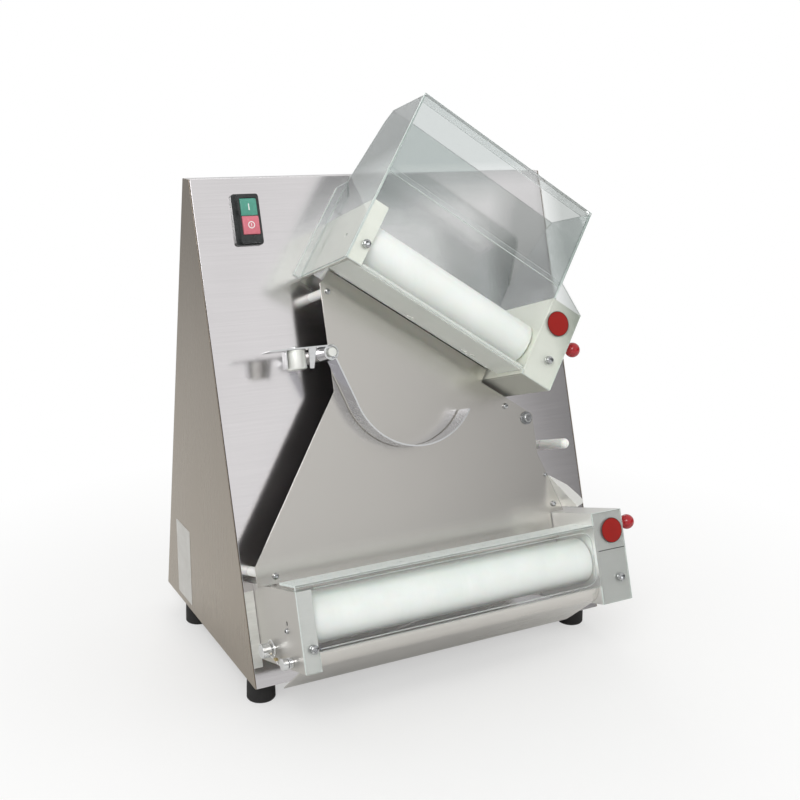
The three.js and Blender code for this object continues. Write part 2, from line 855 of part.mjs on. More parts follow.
// The lever turns the cam through its shaft. The knob's pin passes through the lever's end
function makeLever(unit, leverUp) {
  const { group, name, at } = unit;
  const [tipUp, tipOut] = leverTip(unit, leverUp, 0);
  const armStart = at.end + gap;
  const armEnd = armStart + leverThickness;
  const heading = THREE.MathUtils.radToDeg(Math.atan2(tipOut - frontRollerOut, tipUp - leverUp));
  const arm = outline(
    [
      ...arcPoints(leverUp, frontRollerOut, leverHub, heading + 90, heading + 270, 10),
      ...arcPoints(tipUp, tipOut, leverTipRadius, heading - 90, heading + 90, 8),
    ],
    [roundHole(tipUp, tipOut, pinRadius + gap)],
  );
  const camStart = at.inner + plateWall + 2 * gap;
  const camEnd = camStart + yokeSheet + 2 * gap;
  const lever = joined(
    plateX(arm, armStart, armEnd),
    turnedX(rod(camEnd - gap, armEnd - gap, camShaftRadius), leverUp, frontRollerOut, 16),
    turnedX(rod(camStart, camEnd, camRadius), leverUp - camThrow, frontRollerOut),
    turnedX(ring(armEnd - gap, armEnd + collarLength, pinRadius + gap, leverTipRadius), tipUp, tipOut, 16),
  );
  place(group, `${name}_gap_lever`, lever, machinedSteel);

  const neckStart = armEnd + collarLength + gap;
  const ballMiddle = neckStart + knobNeck + knobRadius;
  const ball = arcPoints(ballMiddle, 0, knobRadius, 150, 18, 6);
  const knob = [
    [armStart, 0],
    [armStart, pinRadius],
    [neckStart, pinRadius],
    [neckStart, knobNeckRadius],
    ...ball,
    [ballMiddle + knobRadius, 0],
  ];
  place(group, `${name}_gap_knob`, turnedX(knob, tipUp, tipOut, 16), knobPlastic);
}

// The scraper's edge lies under the back roller, a clearance off it
function makeScraper({ group, name, at, rollerUp }) {
  const angle = THREE.MathUtils.degToRad(scraperAngle);
  const reach = rollerRadius + 2 * gap;
  const edge = [rollerUp - reach * Math.sin(angle), backRollerOut + reach * Math.cos(angle)];
  const foot = [edge[0] - scraperWidth * Math.cos(angle), edge[1] - scraperWidth * Math.sin(angle)];
  const strip = plateX(stripOutline([edge, foot], scraperSheet), plateWall + gap, at.inner - gap);
  place(group, `${name}_scraper`, strip, polishedSteel);
}

// Clear hopper over the upper rollers: front, two sides, a sloping back and a turned-in lip
function makeHopper() {
  const { inner, end } = upper.at;
  const leftOuter = -gap - guardWall;
  const rightOuter = inner + guardWall;
  const front = outline([
    [leftOuter, 0],
    [inner, 0],
    [inner, upperBoxBottom],
    [end, upperBoxBottom],
    [end, upperBoxTop],
    [rightOuter, upperBoxTop + hopperShoulder],
    [rightOuter, hopperHeight],
    [leftOuter, hopperHeight],
  ]);
  const rear = [[hopperBend, gap], [hopperRearUp, hopperRearOut], [hopperPeak, hopperPeakOut]];
  const side = (low) => outline([[low, gap], ...rear, [hopperHeight, unitDepth], [low, unitDepth]]);
  const lipLow = hopperHeight - guardWall;
  const lip = box(leftOuter, rightOuter, lipLow, hopperHeight, unitDepth - lipWidth, unitDepth);
  const hopper = joined(
    plateZ(front, metalFront + gap, unitDepth),
    plateX(side(0), leftOuter, -gap),
    plateX(side(upperBoxTop + gap), inner, rightOuter),
    plateX(stripOutline(rear, -guardWall), leftOuter, rightOuter),
    lip,
  );
  place(upperUnit, "upper_hopper", hopper, clearPlastic);

  const underFront = metalFront - plateWall - gap;
  const under = joined(
    box(plateWall + gap, inner - gap, 0, guardWall, underBack, underFront),
    box(plateWall + gap, inner - gap, 0, underLip, underFront - guardWall, underFront),
  );
  place(upperUnit, "upper_under_guard", under, clearPlastic);
}

// Clear guard in front of the lower rollers, over a steel tray with a rounded front
function makeLowerGuard() {
  const { inner, end } = lower.at;
  const front = outline([
    [0, 0],
    [flangeWidth, 0],
    [flangeWidth, guardBottom],
    [inner, guardBottom],
    [inner, lowerBoxBottom],
    [end, lowerBoxBottom],
    [end, lowerBoxTop],
    [inner, lowerBoxTop],
    [inner, guardTop],
    [0, guardTop],
  ]);
  const lip = box(0, inner - gap, guardTop - guardWall, guardTop, unitDepth - lipWidth, unitDepth);
  place(lowerUnit, "lower_guard", joined(plateZ(front, metalFront + gap, unitDepth), lip), clearPlastic);

  const trayFront = metalFront - plateWall - gap;
  const bend = arcPoints(guardBottom, trayFront - trayBend, trayBend, 90, 90 + trayTurnAngle, 8);
  const [bendUp, bendOut] = bend[bend.length - 1];
  const slope = THREE.MathUtils.degToRad(90 - trayTurnAngle);
  const path = [...bend, [bendUp - (bendOut - trayBack) * Math.tan(slope), trayBack]];
  const tray = plateX(stripOutline(path, -traySheet), plateWall + gap, inner - gap);
  place(lowerUnit, "lower_tray", tray, polishedSteel);
}

// Knob that holds the lower rollers' guard, and the stud that its lanyard is tied to
function makeRetainer() {
  const collarStart = -gap - retainerCollarLength;
  const knob = [
    [collarStart - retainerLength, 0],
    [collarStart - retainerLength, retainerRadius],
    [collarStart, retainerRadius],
    [collarStart, retainerCollar],
    [-gap, retainerCollar],
    [-gap, pinRadius],
    [plateWall + bossLength, pinRadius],
    [plateWall + bossLength, 0],
  ];
  place(lowerUnit, "retaining_knob", turnedX(knob, retainerUp, retainerOut, 16), machinedSteel);
  const stud = rod(-gap - studLength, -gap, studRadius);
  place(lowerUnit, "lock_stud", turnedX(stud, studUp, studOut, 12), machinedSteel);
}

// Slide plate between the units, held off the face by round posts
function makeSlide() {
  const bottom = lowerBottom + lowerPlateHeight + slideGap;
  const boxTop = lowerBottom + lowerBoxTop + slideGap;
  const tongueLeft = lowerLeft + plateWall + slideGap;
  const tongueRight = lowerLeft + lower.at.inner - slideGap;
  const underUnit = -slideBoxGap;
  const underBox = upperBoxBottom - 2 * slideBoxGap;
  const rightTop = upperBottom - (slideRight - upperLeft) * Math.tan(tilt) + underBox / Math.cos(tilt);
  const sheet = outline([
    [slideFootLeft, bottom],
    [tongueRight, bottom],
    [tongueRight, boxTop],
    [slideFootRight, boxTop],
    [slideWaistX, slideWaistUp],
    [slideRight, slideHip],
    [slideRight, rightTop],
    upperToFace(upper.at.inner - slideBoxGap, underBox),
    upperToFace(upper.at.inner - slideBoxGap, underUnit),
    upperToFace(slideTopIn, underUnit),
    [slideLeft, slideTop],
    [slideLeft, slideNeck],
    [slideFootLeft, slideFlare],
  ]);
  const tongue = [
    [bottom + tongueDrop, slideOut],
    [bottom, slideOut],
    [bottom - tongueDrop, slideOut + tongueReach],
  ];
  const plate = joined(
    plateZ(sheet, slideOut, slideOut + slideSheet),
    plateX(stripOutline(tongue, slideSheet), tongueLeft, tongueRight),
  );
  place(face, "slide_plate", plate, brushedSteel);

  const posts = {
    upper_left_post: [upperPostX, upperPostUp],
    lower_left_post: [lowerPostX, lowerPostUp],
    right_post: [rightPostX, rightPostUp],
  };
  for (const [name, [x, up]] of Object.entries(posts)) {
    place(face, name, turnedZ(rod(gap, slideOut - gap, postRadius), x, up, 16), whiteNylon);
  }
  const nose = arcPoints(guidePinLength - guidePinRadius, 0, guidePinRadius, 90, 18, 4);
  const pin = [[gap, 0], [gap, guidePinRadius], ...nose, [guidePinLength, 0]];
  place(face, "guide_pin", turnedZ(pin, guidePinX, guidePinUp, 16), whiteNylon);
  makeFin(boxTop);
}

// The fin stands on the slide plate's right edge and grows towards the lower unit
function makeFin(foot) {
  const edge = vector(slideFootRight - slideWaistX, foot - slideWaistUp, 0);
  const along = edge.clone().normalize();
  const sideways = vector(0, 0, 1).cross(along);
  const length = edge.length() + (finFlange * sideways.y) / along.y;
  const origin = vector(slideWaistX, slideWaistUp, slideOut + slideSheet + gap);
  const frame = framed(face, origin, along, sideways, vector(0, 0, 1));
  const wedge = plateY(outline([[0, 0], [0, length], [finHeight, length]]), 0, slideSheet);
  const flange = plateY(stripOutline([[finHeight, length], [0, 0]], slideSheet), 0, finFlange);
  const base = box(0, length, -finFlange, slideSheet, 0, slideSheet);
  place(frame, "slide_fin", joined(wedge, flange, base), polishedSteel);
}

// Balance arm: hub, flat blade with its counterweight to the left and curved band to the right
function makeBalanceArm() {
  const post = [
    [gap, 0],
    [gap, armPostRadius],
    [armBack - gap, armPostRadius],
    [armBack - gap, armJournalRadius],
    [armFront + gap, armJournalRadius],
    [armFront + gap, armPostCap],
    [armFront + armCapLength, armPostCap],
    [armFront + armCapLength, 0],
  ];
  place(face, "arm_pivot_post", turnedZ(post, armPivotX, armPivotUp), machinedSteel);

  const bladeUp = armPivotUp + bladeRise;
  const hub = turnedZ(ring(armBack, armFront, armJournalRadius + gap, armHubRadius), armPivotX, armPivotUp);
  const blade = box(armPivotX - bladeReach, armPivotX, bladeUp, bladeUp + armSheet, armBack, armFront);
  const tabX = armPivotX - tabReach;
  const tab = box(tabX, tabX + armSheet, bladeUp - tabHeight, bladeUp + gap, armBack, armFront);
  const neck = [armPivotX + armHubRadius / 2, armPivotUp - armHubRadius / 2];
  const bow = arcPoints(bandX, bandUp, bandRadius, bandStartAngle, bandEndAngle, 20);
  const band = stripOutline([neck, ...bow], armSheet);
  const arm = joined(hub, blade, tab, plateZ(band, armBack, armFront));
  place(face, "balance_arm", arm, polishedSteel);

  const weight = rod(bladeUp - gap - weightHeight, bladeUp - gap, weightRadius);
  const weightOut = (armBack + armFront) / 2;
  place(face, "counterweight", turnedY(weight, armPivotX - weightReach, weightOut), machinedSteel);
}

// Gearmotor on its bracket, with the drive shaft coming out of the reducer
function makeMotor() {
  const [y, z] = sideView(driveUp, -driveBack);
  const reducerLeft = reducerRight - reducerSize;
  const motorLeft = reducerLeft - motorLength;
  const motor = [
    [motorLeft, 0],
    [motorLeft, motorRadius - motorNose],
    [motorLeft + motorNose, motorRadius],
    [reducerLeft + gap, motorRadius],
    [reducerLeft + gap, 0],
  ];
  const half = reducerSize / 2;
  const reducer = box(reducerLeft, reducerRight, y - half, y + half, z - motorRadius, z + half);
  const terminalMiddle = (motorLeft + reducerLeft) / 2;
  const terminals = box(
    terminalMiddle - terminalWidth / 2,
    terminalMiddle + terminalWidth / 2,
    y - terminalWidth / 2,
    y + terminalWidth / 2,
    z,
    z + motorRadius + terminalHeight,
  );
  place(machine, "gear_motor", joined(turnedX(motor, y, z, 24), reducer, terminals), motorPaint);

  const low = footHeight + sideSheet + gap;
  const high = z - motorRadius - gap;
  const front = y - bracketDepth / 2;
  const rear = y + bracketDepth / 2;
  const channel = outline([
    [front, low],
    [front + bracketWall, low],
    [front + bracketWall, high - bracketWall],
    [rear - bracketWall, high - bracketWall],
    [rear - bracketWall, low],
    [rear, low],
    [rear, high],
    [front, high],
  ]);
  place(machine, "motor_bracket", plateX(channel, motorLeft, reducerRight), machinedSteel);

  const shaftEnd = lowerPulleyX + beltWidth / 2 + pulleyRim + gap;
  const bore = driveShaftRadius - gap;
  const shaft = joined(
    turnedX(rod(reducerRight + gap, shaftEnd, driveShaftRadius), y, z),
    turnedX(flatPulley(riserX, bore), y, z),
    turnedX(flatPulley(lowerPulleyX, bore), y, z),
  );
  place(machine, "drive_shaft", shaft, machinedSteel);
}

// A flat belt round two equal pulleys whose axes lie along x
function flatBelt([up0, out0], [up1, out1], middle) {
  const heading = THREE.MathUtils.radToDeg(Math.atan2(out1 - out0, up1 - up0));
  const loop = (radius) => [
    ...arcPoints(up0, out0, radius, heading + 90, heading + 270, 14),
    ...arcPoints(up1, out1, radius, heading - 90, heading + 90, 14),
  ];
  const inner = loop(beltPulleyRadius + gap).reverse().map(([up, out]) => new THREE.Vector2(up, out));
  const belt = outline(loop(beltPulleyRadius + gap + beltThickness), [new THREE.Path(inner)]);
  return plateX(belt, middle - beltWidth / 2, middle + beltWidth / 2);
}

function makeBelts() {
  const drive = [driveUp, -driveBack];
  const counter = [upperPulleyUp, -counterBack];
  place(face, "lower_drive_belt", flatBelt(drive, [lowerPulleyUp, backRollerOut], lowerPulleyX), beltRubber);
  place(face, "riser_belt", flatBelt(drive, counter, riserX), beltRubber);

  // The round belt's loop runs over the countershaft's pulley and over the askew pulley of the upper unit
  const points = [];
  const turns = [90, 70, 50, 30, 10, -10, -30, -50, -70, -90];
  for (const turn of turns) {
    const angle = THREE.MathUtils.degToRad(turn);
    const rise = roundBeltPitch * Math.sin(angle);
    const out = backRollerOut + roundBeltPitch * Math.cos(angle);
    points.push(vector(upperPulleyX + rise * Math.sin(tilt), upperPulleyUp + rise * Math.cos(tilt), out));
  }
  for (const turn of turns) {
    const angle = THREE.MathUtils.degToRad(-turn);
    const rise = roundBeltPitch * Math.sin(angle);
    points.push(vector(upperPulleyX, upperPulleyUp + rise, -counterBack - roundBeltPitch * Math.cos(angle)));
  }
  const loop = new THREE.CatmullRomCurve3(points, true, "centripetal");
  place(face, "upper_drive_belt", new THREE.TubeGeometry(loop, 60, roundBeltRadius, 6, true), beltRubber);
}

// Countershaft behind the face sheet, which turns the drive to the askew upper unit
function makeCountershaft() {
  const slotSpan = beltSlotHalf * Math.cos(tilt) + beltSlotTall * Math.sin(tilt);
  const left = upperPulleyX - slotSpan - counterMargin;
  const right = riserX + beltWidth / 2 + pulleyRim + counterMargin;
  const sheetBack = -faceSheet - gap;
  const reach = -counterBack - counterArmHalf;
  const web = outline(
    [
      [left, upperPulleyUp - beltSlotTall - counterMargin],
      [right, upperPulleyUp - beltSlotTall - counterMargin],
      [right, upperPulleyUp + beltSlotTall + counterMargin],
      [left, upperPulleyUp + beltSlotTall + counterMargin],
    ],
    [
      squareHole(
        upperPulleyX - slotSpan,
        upperPulleyX + slotSpan,
        upperPulleyUp - beltSlotTall,
        upperPulleyUp + beltSlotTall,
      ),
    ],
  );
  const arm = () => outline(
    [
      [upperPulleyUp - counterArmHalf, reach],
      [upperPulleyUp + counterArmHalf, reach],
      [upperPulleyUp + counterArmHalf, sheetBack],
      [upperPulleyUp - counterArmHalf, sheetBack],
    ],
    [roundHole(upperPulleyUp, -counterBack, counterShaftRadius + gap)],
  );
  const bracket = joined(
    plateZ(web, sheetBack - counterPlate, sheetBack),
    plateX(arm(), left, left + counterPlate),
    plateX(arm(), right - counterPlate, right),
  );
  place(face, "countershaft_bracket", bracket, machinedSteel);

  const bore = counterShaftRadius - gap;
  const shaft = joined(
    turnedX(rod(left - gap, right + gap, counterShaftRadius), upperPulleyUp, -counterBack),
    turnedX(groovedPulley(upperPulleyX, bore), upperPulleyUp, -counterBack),
    turnedX(flatPulley(riserX, bore), upperPulleyUp, -counterBack),
  );
  place(face, "countershaft", shaft, machinedSteel);
}

makeCabinet();
makeSwitch();
makeRollerUnit(upper);
makeRollerUnit(lower);
makeHopper();
makeLowerGuard();
makeRetainer();
makeSlide();
makeBalanceArm();
makeMotor();
makeBelts();
makeCountershaft();

// The origin is the middle of the machine's footprint, on the surface that it stands on
const extent = new THREE.Box3().setFromObject(machine, true);
const middle = extent.getCenter(vector(0, 0, 0));
machine.position.set(-middle.x, -middle.y, -extent.min.z);

export default machine;
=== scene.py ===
"""Blender finish of the pizza forming machine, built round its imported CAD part."""

import json
from math import atan2, cos, hypot, pi, radians, sin, tan

import bmesh
import bpy
from bpy.props import FloatProperty, FloatVectorProperty, IntProperty, PointerProperty
from bpy.types import Operator, Panel, PropertyGroup
from mathutils import Matrix, Vector
from mathutils.geometry import tessellate_polygon


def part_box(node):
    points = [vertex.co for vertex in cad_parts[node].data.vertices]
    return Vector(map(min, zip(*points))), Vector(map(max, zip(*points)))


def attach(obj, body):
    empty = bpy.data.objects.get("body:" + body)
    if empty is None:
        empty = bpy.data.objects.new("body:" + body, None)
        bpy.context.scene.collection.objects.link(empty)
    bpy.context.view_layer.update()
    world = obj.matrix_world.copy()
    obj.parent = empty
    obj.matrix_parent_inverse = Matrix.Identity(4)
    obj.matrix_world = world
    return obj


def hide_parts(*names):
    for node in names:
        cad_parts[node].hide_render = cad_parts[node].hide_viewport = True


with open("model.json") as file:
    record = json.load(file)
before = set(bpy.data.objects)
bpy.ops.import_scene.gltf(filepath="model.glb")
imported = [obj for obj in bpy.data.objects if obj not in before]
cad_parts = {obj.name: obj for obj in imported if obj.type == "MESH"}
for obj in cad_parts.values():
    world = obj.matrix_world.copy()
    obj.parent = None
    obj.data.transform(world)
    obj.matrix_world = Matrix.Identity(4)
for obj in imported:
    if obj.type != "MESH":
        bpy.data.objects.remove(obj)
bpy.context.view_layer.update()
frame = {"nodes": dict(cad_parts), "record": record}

bl_info = {
    "name": "Pizza forming machine",
    "version": (1, 0, 0),
    "blender": (4, 5, 0),
    "location": "View3D > Sidebar > Dough sheeter",
    "description": "Finishes the inclined double roller machine round its CAD part",
    "category": "Object",
}

MM = 1000.0  # millimetres in a metre

# Lines of the wedge-shaped cabinet, in mm
BODY_WIDTH = 530.0
BODY_DEPTH = 364.0
BODY_RISE = 612.0
FACE_SETBACK = 196.0
BACK_RUN = 145.0
FOOT_HEIGHT = 33.0
LEAN = atan2(FACE_SETBACK, BODY_RISE)
BACK_LEAN = atan2(BACK_RUN, BODY_RISE)

# Roller units, in mm
UNIT_DEPTH = 145.0
METAL_FRONT = 141.7
GUARD_WALL = 3.0
# The clearances of screwed-on and of fitted pieces, and the gap that a weld closes
GAP = 0.3
JOINT = 0.05
WELD_GAP = 0.01
# Where pieces between a unit's cheeks start, across from the left cheek's outer side
CHEEK_CLEAR = 3.3
ROLLER_RADIUS = 30.0
BACK_OUT = 40.5
FRONT_OUT = 103.0
UPPER = {
    "name": "upper", "inner": 276.0, "end": 323.0, "roller": 40.0, "box": (-5.0, 108.0), "lever": -30.0,
    "disc": (296.0, 80.0),
}
LOWER = {
    "name": "lower", "inner": 423.0, "end": 470.0, "roller": 55.0, "box": (-2.0, 118.0), "lever": 0.0,
    "disc": (451.0, 92.0),
}
UNITS = (UPPER, LOWER)
LEVER_RISE = 42.0
LEVER_REACH = 28.0
LEVER_FRONT = 6.3

# Places on the face, in mm across from its middle and up from its foot
SWITCH_AT = (-194.5, 588.0)
PIVOT_AT = (-138.0, 403.5)
WEIGHT_X = -181.0
ARM_BACK, ARM_FRONT = 55.0, 82.0
POSTS = {"upper_left_post": (-119, 482.7), "lower_left_post": (-250, 146), "right_post": (152, 288)}
GUIDE_PIN_AT = (208.8, 245.3)
SLIDE_BACK, SLIDE_FRONT = 50.0, 51.5
# Places on the lower unit's left cheek, in mm up and out
KNOB_AT = (19.5, 50.0)
STUD_AT = (10.0, 106.0)
# The gland's place on the back cover, in mm
GLAND_AT = (190.0, 60.0)


def frame_of(x_axis, y_axis, z_axis, origin=(0, 0, 0)):
    """A matrix with these axes as its columns."""
    rows = [[*parts] for parts in zip(x_axis, y_axis, z_axis, origin)]
    return Matrix([*rows, [0, 0, 0, 1]])


def at(x, y, z):
    return Matrix.Translation((x, y, z))


side_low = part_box("left_side_panel")[0] * MM
MIDDLE_X = side_low.x + BODY_WIDTH / 2
FRONT_Y = side_low.y
CABINET = at(MIDDLE_X, FRONT_Y, 0)
UP_FACE = Vector((0, sin(LEAN), cos(LEAN)))
FACE = CABINET @ frame_of((1, 0, 0), UP_FACE, (0, -cos(LEAN), sin(LEAN)), (0, 0, FOOT_HEIGHT))
BACK = CABINET @ frame_of(
    (-1, 0, 0), (0, -sin(BACK_LEAN), cos(BACK_LEAN)), (0, cos(BACK_LEAN), sin(BACK_LEAN)),
    (0, BODY_DEPTH, FOOT_HEIGHT),
)
UPPER["place"] = FACE @ at(-128.5, 510, 0) @ Matrix.Rotation(radians(-35), 4, "Z")
LOWER["place"] = FACE @ at(-250.5, 35.5, 0)
# Turns that bring a shape's z axis along x or up the face, and an outline drawn in y and z to face x
ALONG_X = Matrix.Rotation(pi / 2, 4, "Y")
UPRIGHT = frame_of((1, 0, 0), (0, 0, -1), (0, 1, 0))
ACROSS_X = frame_of((0, 1, 0), (0, 0, 1), (1, 0, 0))

BODY_OF = {
    node: body
    for body, nodes in frame["record"]["behaviour"]["bodies"].items()
    for node in nodes
}


def hex_colour(code):
    """A linear colour from an sRGB hex value."""
    shares = [int(code[i : i + 2], 16) / 255 for i in (1, 3, 5)]
    linear = [s / 12.92 if s <= 0.04045 else ((s + 0.055) / 1.055) ** 2.4 for s in shares]
    return (*linear, 1.0)


# Nodes


def add_node(tree, kind, inputs=None, **settings):
    """Adds a node with its settings, and sets or links its inputs."""
    node = tree.nodes.new(kind)
    for name, value in settings.items():
        setattr(node, name, value)
    for socket, value in (inputs or {}).items():
        if isinstance(value, bpy.types.NodeSocket):
            tree.links.new(value, node.inputs[socket])
        else:
            node.inputs[socket].default_value = value
    return node


def maths(tree, operation, first, second, clamp=False):
    """A sum on two values."""
    values = {0: first, 1: second}
    return add_node(tree, "ShaderNodeMath", values, operation=operation, use_clamp=clamp).outputs[0]


def vector_maths(tree, operation, *vectors, output="Vector"):
    """A sum on one or two vectors."""
    values = dict(enumerate(vectors))
    return add_node(tree, "ShaderNodeVectorMath", values, operation=operation).outputs[output]


def ramp(tree, value, start, end, low=0.0, high=1.0):
    """Goes from low to high while the value goes from start to end."""
    ends = {"From Min": start, "From Max": end, "To Min": low, "To Max": high}
    return add_node(tree, "ShaderNodeMapRange", {"Value": value, **ends}).outputs[0]


def mix_colours(tree, share, first, second):
    return add_node(tree, "ShaderNodeMix", {0: share, 6: first, 7: second}, data_type="RGBA").outputs[2]


def mix_shaders(tree, share, first, second):
    return add_node(tree, "ShaderNodeMixShader", {0: share, 1: first, 2: second}).outputs[0]


def coordinate(tree, source):
    return add_node(tree, "ShaderNodeTexCoord").outputs[source]


# Materials

# The span that most sums of the two noises of a grain keep to
TONES = (0.7, 1.3)


def grained(name, light, dark, roughness, grain, depth, blotch=120.0, turn=(0, 0, 0), **sockets):
    """A surface whose tone and gloss follow a fine grain and wide blotches, and its relief the grain.

    Sizes and depth are in mm, and a grain may have a size each along x, y and z.
    """
    material = bpy.data.materials.new(name)
    material.use_nodes = True
    tree = material.node_tree
    shader = tree.nodes["Principled BSDF"].inputs
    place = coordinate(tree, "Object")
    scale = [size / MM for size in (grain if isinstance(grain, tuple) else [grain] * 3)]
    along = add_node(
        tree, "ShaderNodeMapping", {"Vector": place, "Rotation": turn, "Scale": scale}, vector_type="TEXTURE"
    ).outputs[0]
    fine = add_node(
        tree, "ShaderNodeTexNoise", {"Vector": along, "Scale": 1.0, "Detail": 3.0, "Roughness": 0.65}
    ).outputs[0]
    cloud = add_node(
        tree, "ShaderNodeTexNoise", {"Vector": place, "Scale": MM / blotch, "Detail": 2.0}
    ).outputs[0]
    tone = maths(tree, "ADD", fine, cloud)
    colour = mix_colours(tree, ramp(tree, tone, *TONES), hex_colour(dark), hex_colour(light))
    relief = add_node(tree, "ShaderNodeBump", {"Height": fine, "Distance": depth / MM, "Strength": 0.7})
    tree.links.new(colour, shader["Base Color"])
    tree.links.new(ramp(tree, tone, *TONES, *roughness), shader["Roughness"])
    tree.links.new(relief.outputs[0], shader["Normal"])
    for socket, value in sockets.items():
        shader[socket.replace("_", " ")].default_value = value
    return material


def fade(material, colour, source, axis, start, end):
    """Blends in a colour, from none at start to all at end along an axis of the surface's place or normal."""
    tree = material.node_tree
    own = tree.nodes["Principled BSDF"].inputs["Base Color"]
    along = vector_maths(tree, "DOT_PRODUCT", coordinate(tree, source), axis, output="Value")
    mixed = mix_colours(tree, ramp(tree, along, start, end), own.links[0].from_socket, hex_colour(colour))
    tree.links.new(mixed, own)


def acrylic(name, light, dark, roughness, grain, depth, film, blotch=60, clearness=1.0):
    """Acrylic sheet that lets lamps and soft light straight through, so that what is behind it is lit."""
    material = grained(
        name, light, dark, roughness, grain, depth, blotch, IOR=1.49, Transmission_Weight=clearness
    )
    tree = material.node_tree
    path = add_node(tree, "ShaderNodeLightPath").outputs
    light_ray = maths(tree, "ADD", path["Is Shadow Ray"], path["Is Diffuse Ray"], clamp=True)
    through = add_node(tree, "ShaderNodeBsdfTransparent", {"Color": hex_colour(film)}).outputs[0]
    mixed = mix_shaders(tree, light_ray, tree.nodes["Principled BSDF"].outputs[0], through)
    tree.links.new(mixed, tree.nodes["Material Output"].inputs["Surface"])
    return material


# Stainless steel 304, finely brushed crosswise. The scratches are 0.1 mm apart and are drawn 1.2 mm
# apart, so that they show: a near mirror that blurs what it reflects, with faint level lines
FACE_STEEL = grained(
    "brushed_stainless_face", "#E3E0E1", "#DAD7D8", (0.12, 0.17), (140, 1.2, 1.2), 0.004, Metallic=1.0
)
# The same sheet, brushed upright, in the warm grey that the sides have beside the bright face: its own
# colour darkened by painted shade, and painted shade again that darkens it towards the top
SHADED_SIDE_STEEL = grained(
    "brushed_stainless_side_painted_shade", "#A3998D", "#9A9084", (0.24, 0.32), (1.4, 1.4, 160), 0.004, Metallic=1.0
)
# Painted shade: the sides darken towards the top
fade(SHADED_SIDE_STEEL, "#7F766C", "Object", (0, 0, 1), 0.1, 0.62)
# Stainless sheet of the slide plate, brushed along the slide and dulled by flour. Its back has painted
# shade, a darker colour on the side that faces the face plate, which the face reflects as a dark strip
SLIDE_STEEL = grained(
    "brushed_stainless_slide_shaded_back", "#CCC9C4", "#CAC7C2", (0.266, 0.273), (2.0, 140, 140), 0.0006, Metallic=1.0
)
# Painted shade on the back of the slide plate
fade(SLIDE_STEEL, "#C8C6C3", "Normal", (0, cos(LEAN), -sin(LEAN)), 0.4, 0.6)
# Stainless sheet of the roller units, brushed along the rollers, with a paler satin look. The upper
# unit's sheets get painted shade where they face down, the lower unit's painted light where they face left
UNIT_GRAIN = (90, 1.6, 1.6)
LOWER_SHEET = ("#DCDCD8", "#D4D4D0", (0.3, 0.38), UNIT_GRAIN, 0.003)
UNIT_STEEL = {
    "upper": grained(
        "brushed_stainless_upper_unit_shaded_below", "#F2F3E9", "#EBECE1", (0.34, 0.42), UNIT_GRAIN, 0.003,
        turn=UPPER["place"].to_euler(), Metallic=0.45,
    ),
    "lower": grained("brushed_stainless_lower_unit_lit_left", *LOWER_SHEET, Metallic=0.7),
}
UNIT_UP = UPPER["place"].to_3x3() @ Vector((0, 1, 0))
# Painted shade where the upper unit's sheets face down
fade(UNIT_STEEL["upper"], "#B8B9B1", "Normal", -UNIT_UP, 0.5, 0.8)
# Painted highlight where the lower unit's sheets face left
fade(UNIT_STEEL["lower"], "#F6F6F4", "Normal", (-1, 0, 0), 0.5, 0.8)
# The same sheet on the lower unit's left cheek, with painted shade that darkens its left side
SHADED_CHEEK_STEEL = grained("brushed_stainless_left_cheek_shaded_left", *LOWER_SHEET, Metallic=0.7)
fade(SHADED_CHEEK_STEEL, "#BFBCB7", "Normal", (-1, 0, 0), 0.5, 0.8)
# Polished stainless strip: mirror-like with a faint haze of wiping marks
BRIGHT_STEEL = grained(
    "polished_stainless", "#DDDEDE", "#CFD0D1", (0.1, 0.18), 12, 0.004, blotch=60, Metallic=1.0
)
# Thin spring steel of the balance arm: a cool grey with a soft shine
SPRING_STEEL = grained(
    "spring_steel", "#D3D4DA", "#C7C8CE", (0.22, 0.3), (60, 60, 1.6), 0.004, blotch=60, Metallic=1.0
)
# Thin stainless of the tray, brushed along its length: soft streaks in the highlight
TRAY_STEEL = grained(
    "brushed_stainless_tray", "#D4D1CD", "#CAC7C3", (0.2, 0.28), (120, 1.6, 1.6), 0.006, blotch=300,
    Metallic=1.0,
)
# Turned carbon steel: grey, with fine rings from the lathe and a thin film of oil
MACHINED_STEEL = grained(
    "turned_steel", "#B4B3B0", "#8E8D8A", (0.28, 0.42), (0.8, 3, 3), 0.02, blotch=30, Metallic=1.0
)
# Aluminium casting, shot-blasted: pale and matt with a fine pitted skin
CAST_ALUMINIUM = grained(
    "cast_aluminium", "#BFC1C3", "#A4A6A8", (0.45, 0.6), 0.9, 0.06, blotch=25, Metallic=0.95
)
# Turned aluminium of the counterweight: pale satin silver with fine rings
TURNED_ALUMINIUM = grained(
    "turned_aluminium", "#F4F5F0", "#E6E7E2", (0.3, 0.4), (30, 1.0, 30), 0.01, blotch=30, Metallic=0.7
)
# Turned stainless screws: mid grey, with small bright glints
SCREW_STEEL = grained(
    "turned_stainless_screw", "#BFC0C1", "#8F9091", (0.14, 0.22), 1.5, 0.01, blotch=4, Metallic=1.0
)
# Brass of the wire's sleeve: warm yellow, a little dulled
BRASS = grained("brass", "#C6B58A", "#A8976F", (0.22, 0.34), 3, 0.008, blotch=8, Metallic=1.0)
# Food-grade polyethylene, turned: milky white with a soft gloss and hardly seen lathe rings
WHITE_PLASTIC = grained(
    "turned_white_polyethylene", "#FAFBF7", "#F3F5F0", (0.34, 0.46), (1.4, 40, 40), 0.015,
    blotch=60, IOR=1.5, Subsurface_Weight=0.12, Subsurface_Scale=0.004,
)
# Nitrile rubber, moulded: deep black and matt with a slight bloom
BLACK_RUBBER = grained(
    "moulded_black_rubber", "#1E1D1D", "#111010", (0.62, 0.8), 0.9, 0.05, blotch=15, IOR=1.52
)
# Drive belts of woven-faced rubber: matt black with a coarse fabric grain
BELT_RUBBER = grained("belt_rubber", "#2A2927", "#181716", (0.7, 0.88), 1.0, 0.08, blotch=20, IOR=1.5)
